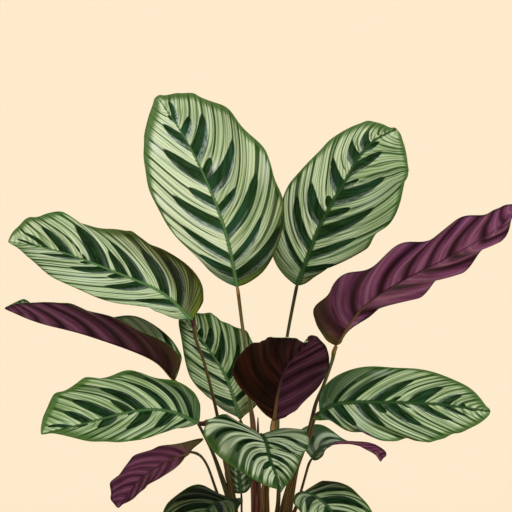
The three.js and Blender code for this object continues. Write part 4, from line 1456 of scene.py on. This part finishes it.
def make_chips(name, count, size, flatness, finish, draw):
    """Chips scattered over the soil, clear of the shoots and of the pot's wall."""
    bpy.ops.mesh.primitive_ico_sphere_add(subdivisions=1, radius=1)
    model = bpy.context.object
    feet = [Vector(foot) for foot, _ in SHOOTS.values()]
    chips = []
    while len(chips) < count:
        angle = draw.uniform(0, 2 * math.pi)
        radius = (inner_radius(SOIL_TOP) - CHIP_WALL_GAP) * math.sqrt(draw.random())
        spot = Vector((radius * math.cos(angle), radius * math.sin(angle)))
        if any((spot - foot).length < CROWN_RADIUS + CHIP_SHOOT_GAP for foot in feet):
            continue
        chip = model.copy()
        chip.data = model.data.copy()
        bpy.context.collection.objects.link(chip)
        width = size * draw.uniform(0.6, 1.5)
        turn = draw.uniform(0, 2 * math.pi)
        lean = draw.uniform(-0.5, 0.5)
        ground = soil_height(radius / inner_radius(SOIL_TOP))
        for vertex in chip.data.vertices:
            jitter = 1 + CHIP_JITTER * noise.noise(vertex.co * 3 + Vector((len(chips), 0, 0)))
            x = vertex.co.x * width * jitter
            y = vertex.co.y * width * CHIP_BREADTH * jitter
            z = vertex.co.z * width * flatness
            vertex.co = Vector((
                spot.x + x * math.cos(turn) - y * math.sin(turn),
                spot.y + x * math.sin(turn) + y * math.cos(turn),
                ground + z + x * lean * CHIP_LEAN,
            )) * MM
        chips.append(chip)
    bpy.data.objects.remove(model)
    piece = joined(name, chips)
    piece.data.materials.append(finish)
    return finished(piece, "soil")


# ---- The plant ----

face_finishes = [upper_face_finish(), under_face_finish(), rib_finish()]
for leaf_number, (leaf_name, leaf_form) in enumerate(LEAVES.items()):
    make_leaf(leaf_name, leaf_form, leaf_number, face_finishes)

rolled = tube("leaf_rolled_blade", ROLLED_LEAF, sides=28, rings=60, seam=0.25)
rolled.data.materials.append(rolled_leaf_finish())
finished(rolled, "leaf", "leaf_rolled")

stem_material = stem_finish()
for shoot_name, (shoot_foot, shoot_petioles) in SHOOTS.items():
    make_shoot(shoot_name, shoot_foot, shoot_petioles, stem_material)

make_pot(pot_finish())
make_soil(soil_finish())
scatter = random.Random(SCATTER_SEED)
bark = chip_finish("bark_chip", "bark", "soil_dark")
make_chips("bark_chips", count=150, size=3.2, flatness=0.35, finish=bark, draw=scatter)
perlite = chip_finish("perlite_grain", "perlite", "soil_light")
make_chips("perlite_grains", count=90, size=1.5, flatness=0.8, finish=perlite, draw=scatter)

# ---- Camera, light and floor ----

CAMERA_TARGET = Vector((0, 0, 456)) * MM
CAMERA_DISTANCE = 2400 * MM
CAMERA_ELEVATION = math.radians(8)
VIEW_WIDTH = 512 * MM  # what the view spans at its target
SENSOR_WIDTH = 36.0

camera_data = bpy.data.cameras.new("camera")
camera_data.sensor_width = SENSOR_WIDTH
camera_data.lens = SENSOR_WIDTH * CAMERA_DISTANCE / VIEW_WIDTH
camera_data.clip_end = 100
camera = bpy.data.objects.new("camera", camera_data)
bpy.context.scene.collection.objects.link(camera)
back = Vector((0, -math.cos(CAMERA_ELEVATION), math.sin(CAMERA_ELEVATION)))
camera.location = CAMERA_TARGET + back * CAMERA_DISTANCE
camera.rotation_euler = (math.pi / 2 - CAMERA_ELEVATION, 0, 0)
bpy.context.scene.camera = camera


def add_sun(name, toward, strength, softness):
    """A soft white studio light so far off that it lights the floor evenly. Softness is in degrees."""
    data = bpy.data.lights.new(name, "SUN")
    data.energy = strength
    data.angle = math.radians(softness)
    sun = bpy.data.objects.new(name, data)
    sun.rotation_euler = Vector(toward).to_track_quat("Z", "Y").to_euler()
    bpy.context.scene.collection.objects.link(sun)


add_sun("key_light", toward=(0.55, -0.75, 1.0), strength=1.9, softness=25)
add_sun("fill_light", toward=(-0.8, -0.7, 0.8), strength=0.35, softness=40)
add_sun("top_light", toward=(0.0, 0.0, 1.0), strength=0.17, softness=60)

world = bpy.data.worlds.new("studio")
world.use_nodes = True
sky = world.node_tree.nodes["Background"].inputs
sky["Color"].default_value = (1.0, 1.0, 1.0, 1)
sky["Strength"].default_value = 0.45
bpy.context.scene.world = world
bpy.context.scene.view_settings.view_transform = "Standard"

bpy.ops.mesh.primitive_plane_add(size=80)
floor = bpy.context.object
floor.name = "studio_floor"
floor_finish = Finish("studio_floor", shine=0)
floor_finish.set(base=colour("floor"), roughness=1.0)
floor.data.materials.append(floor_finish.material)
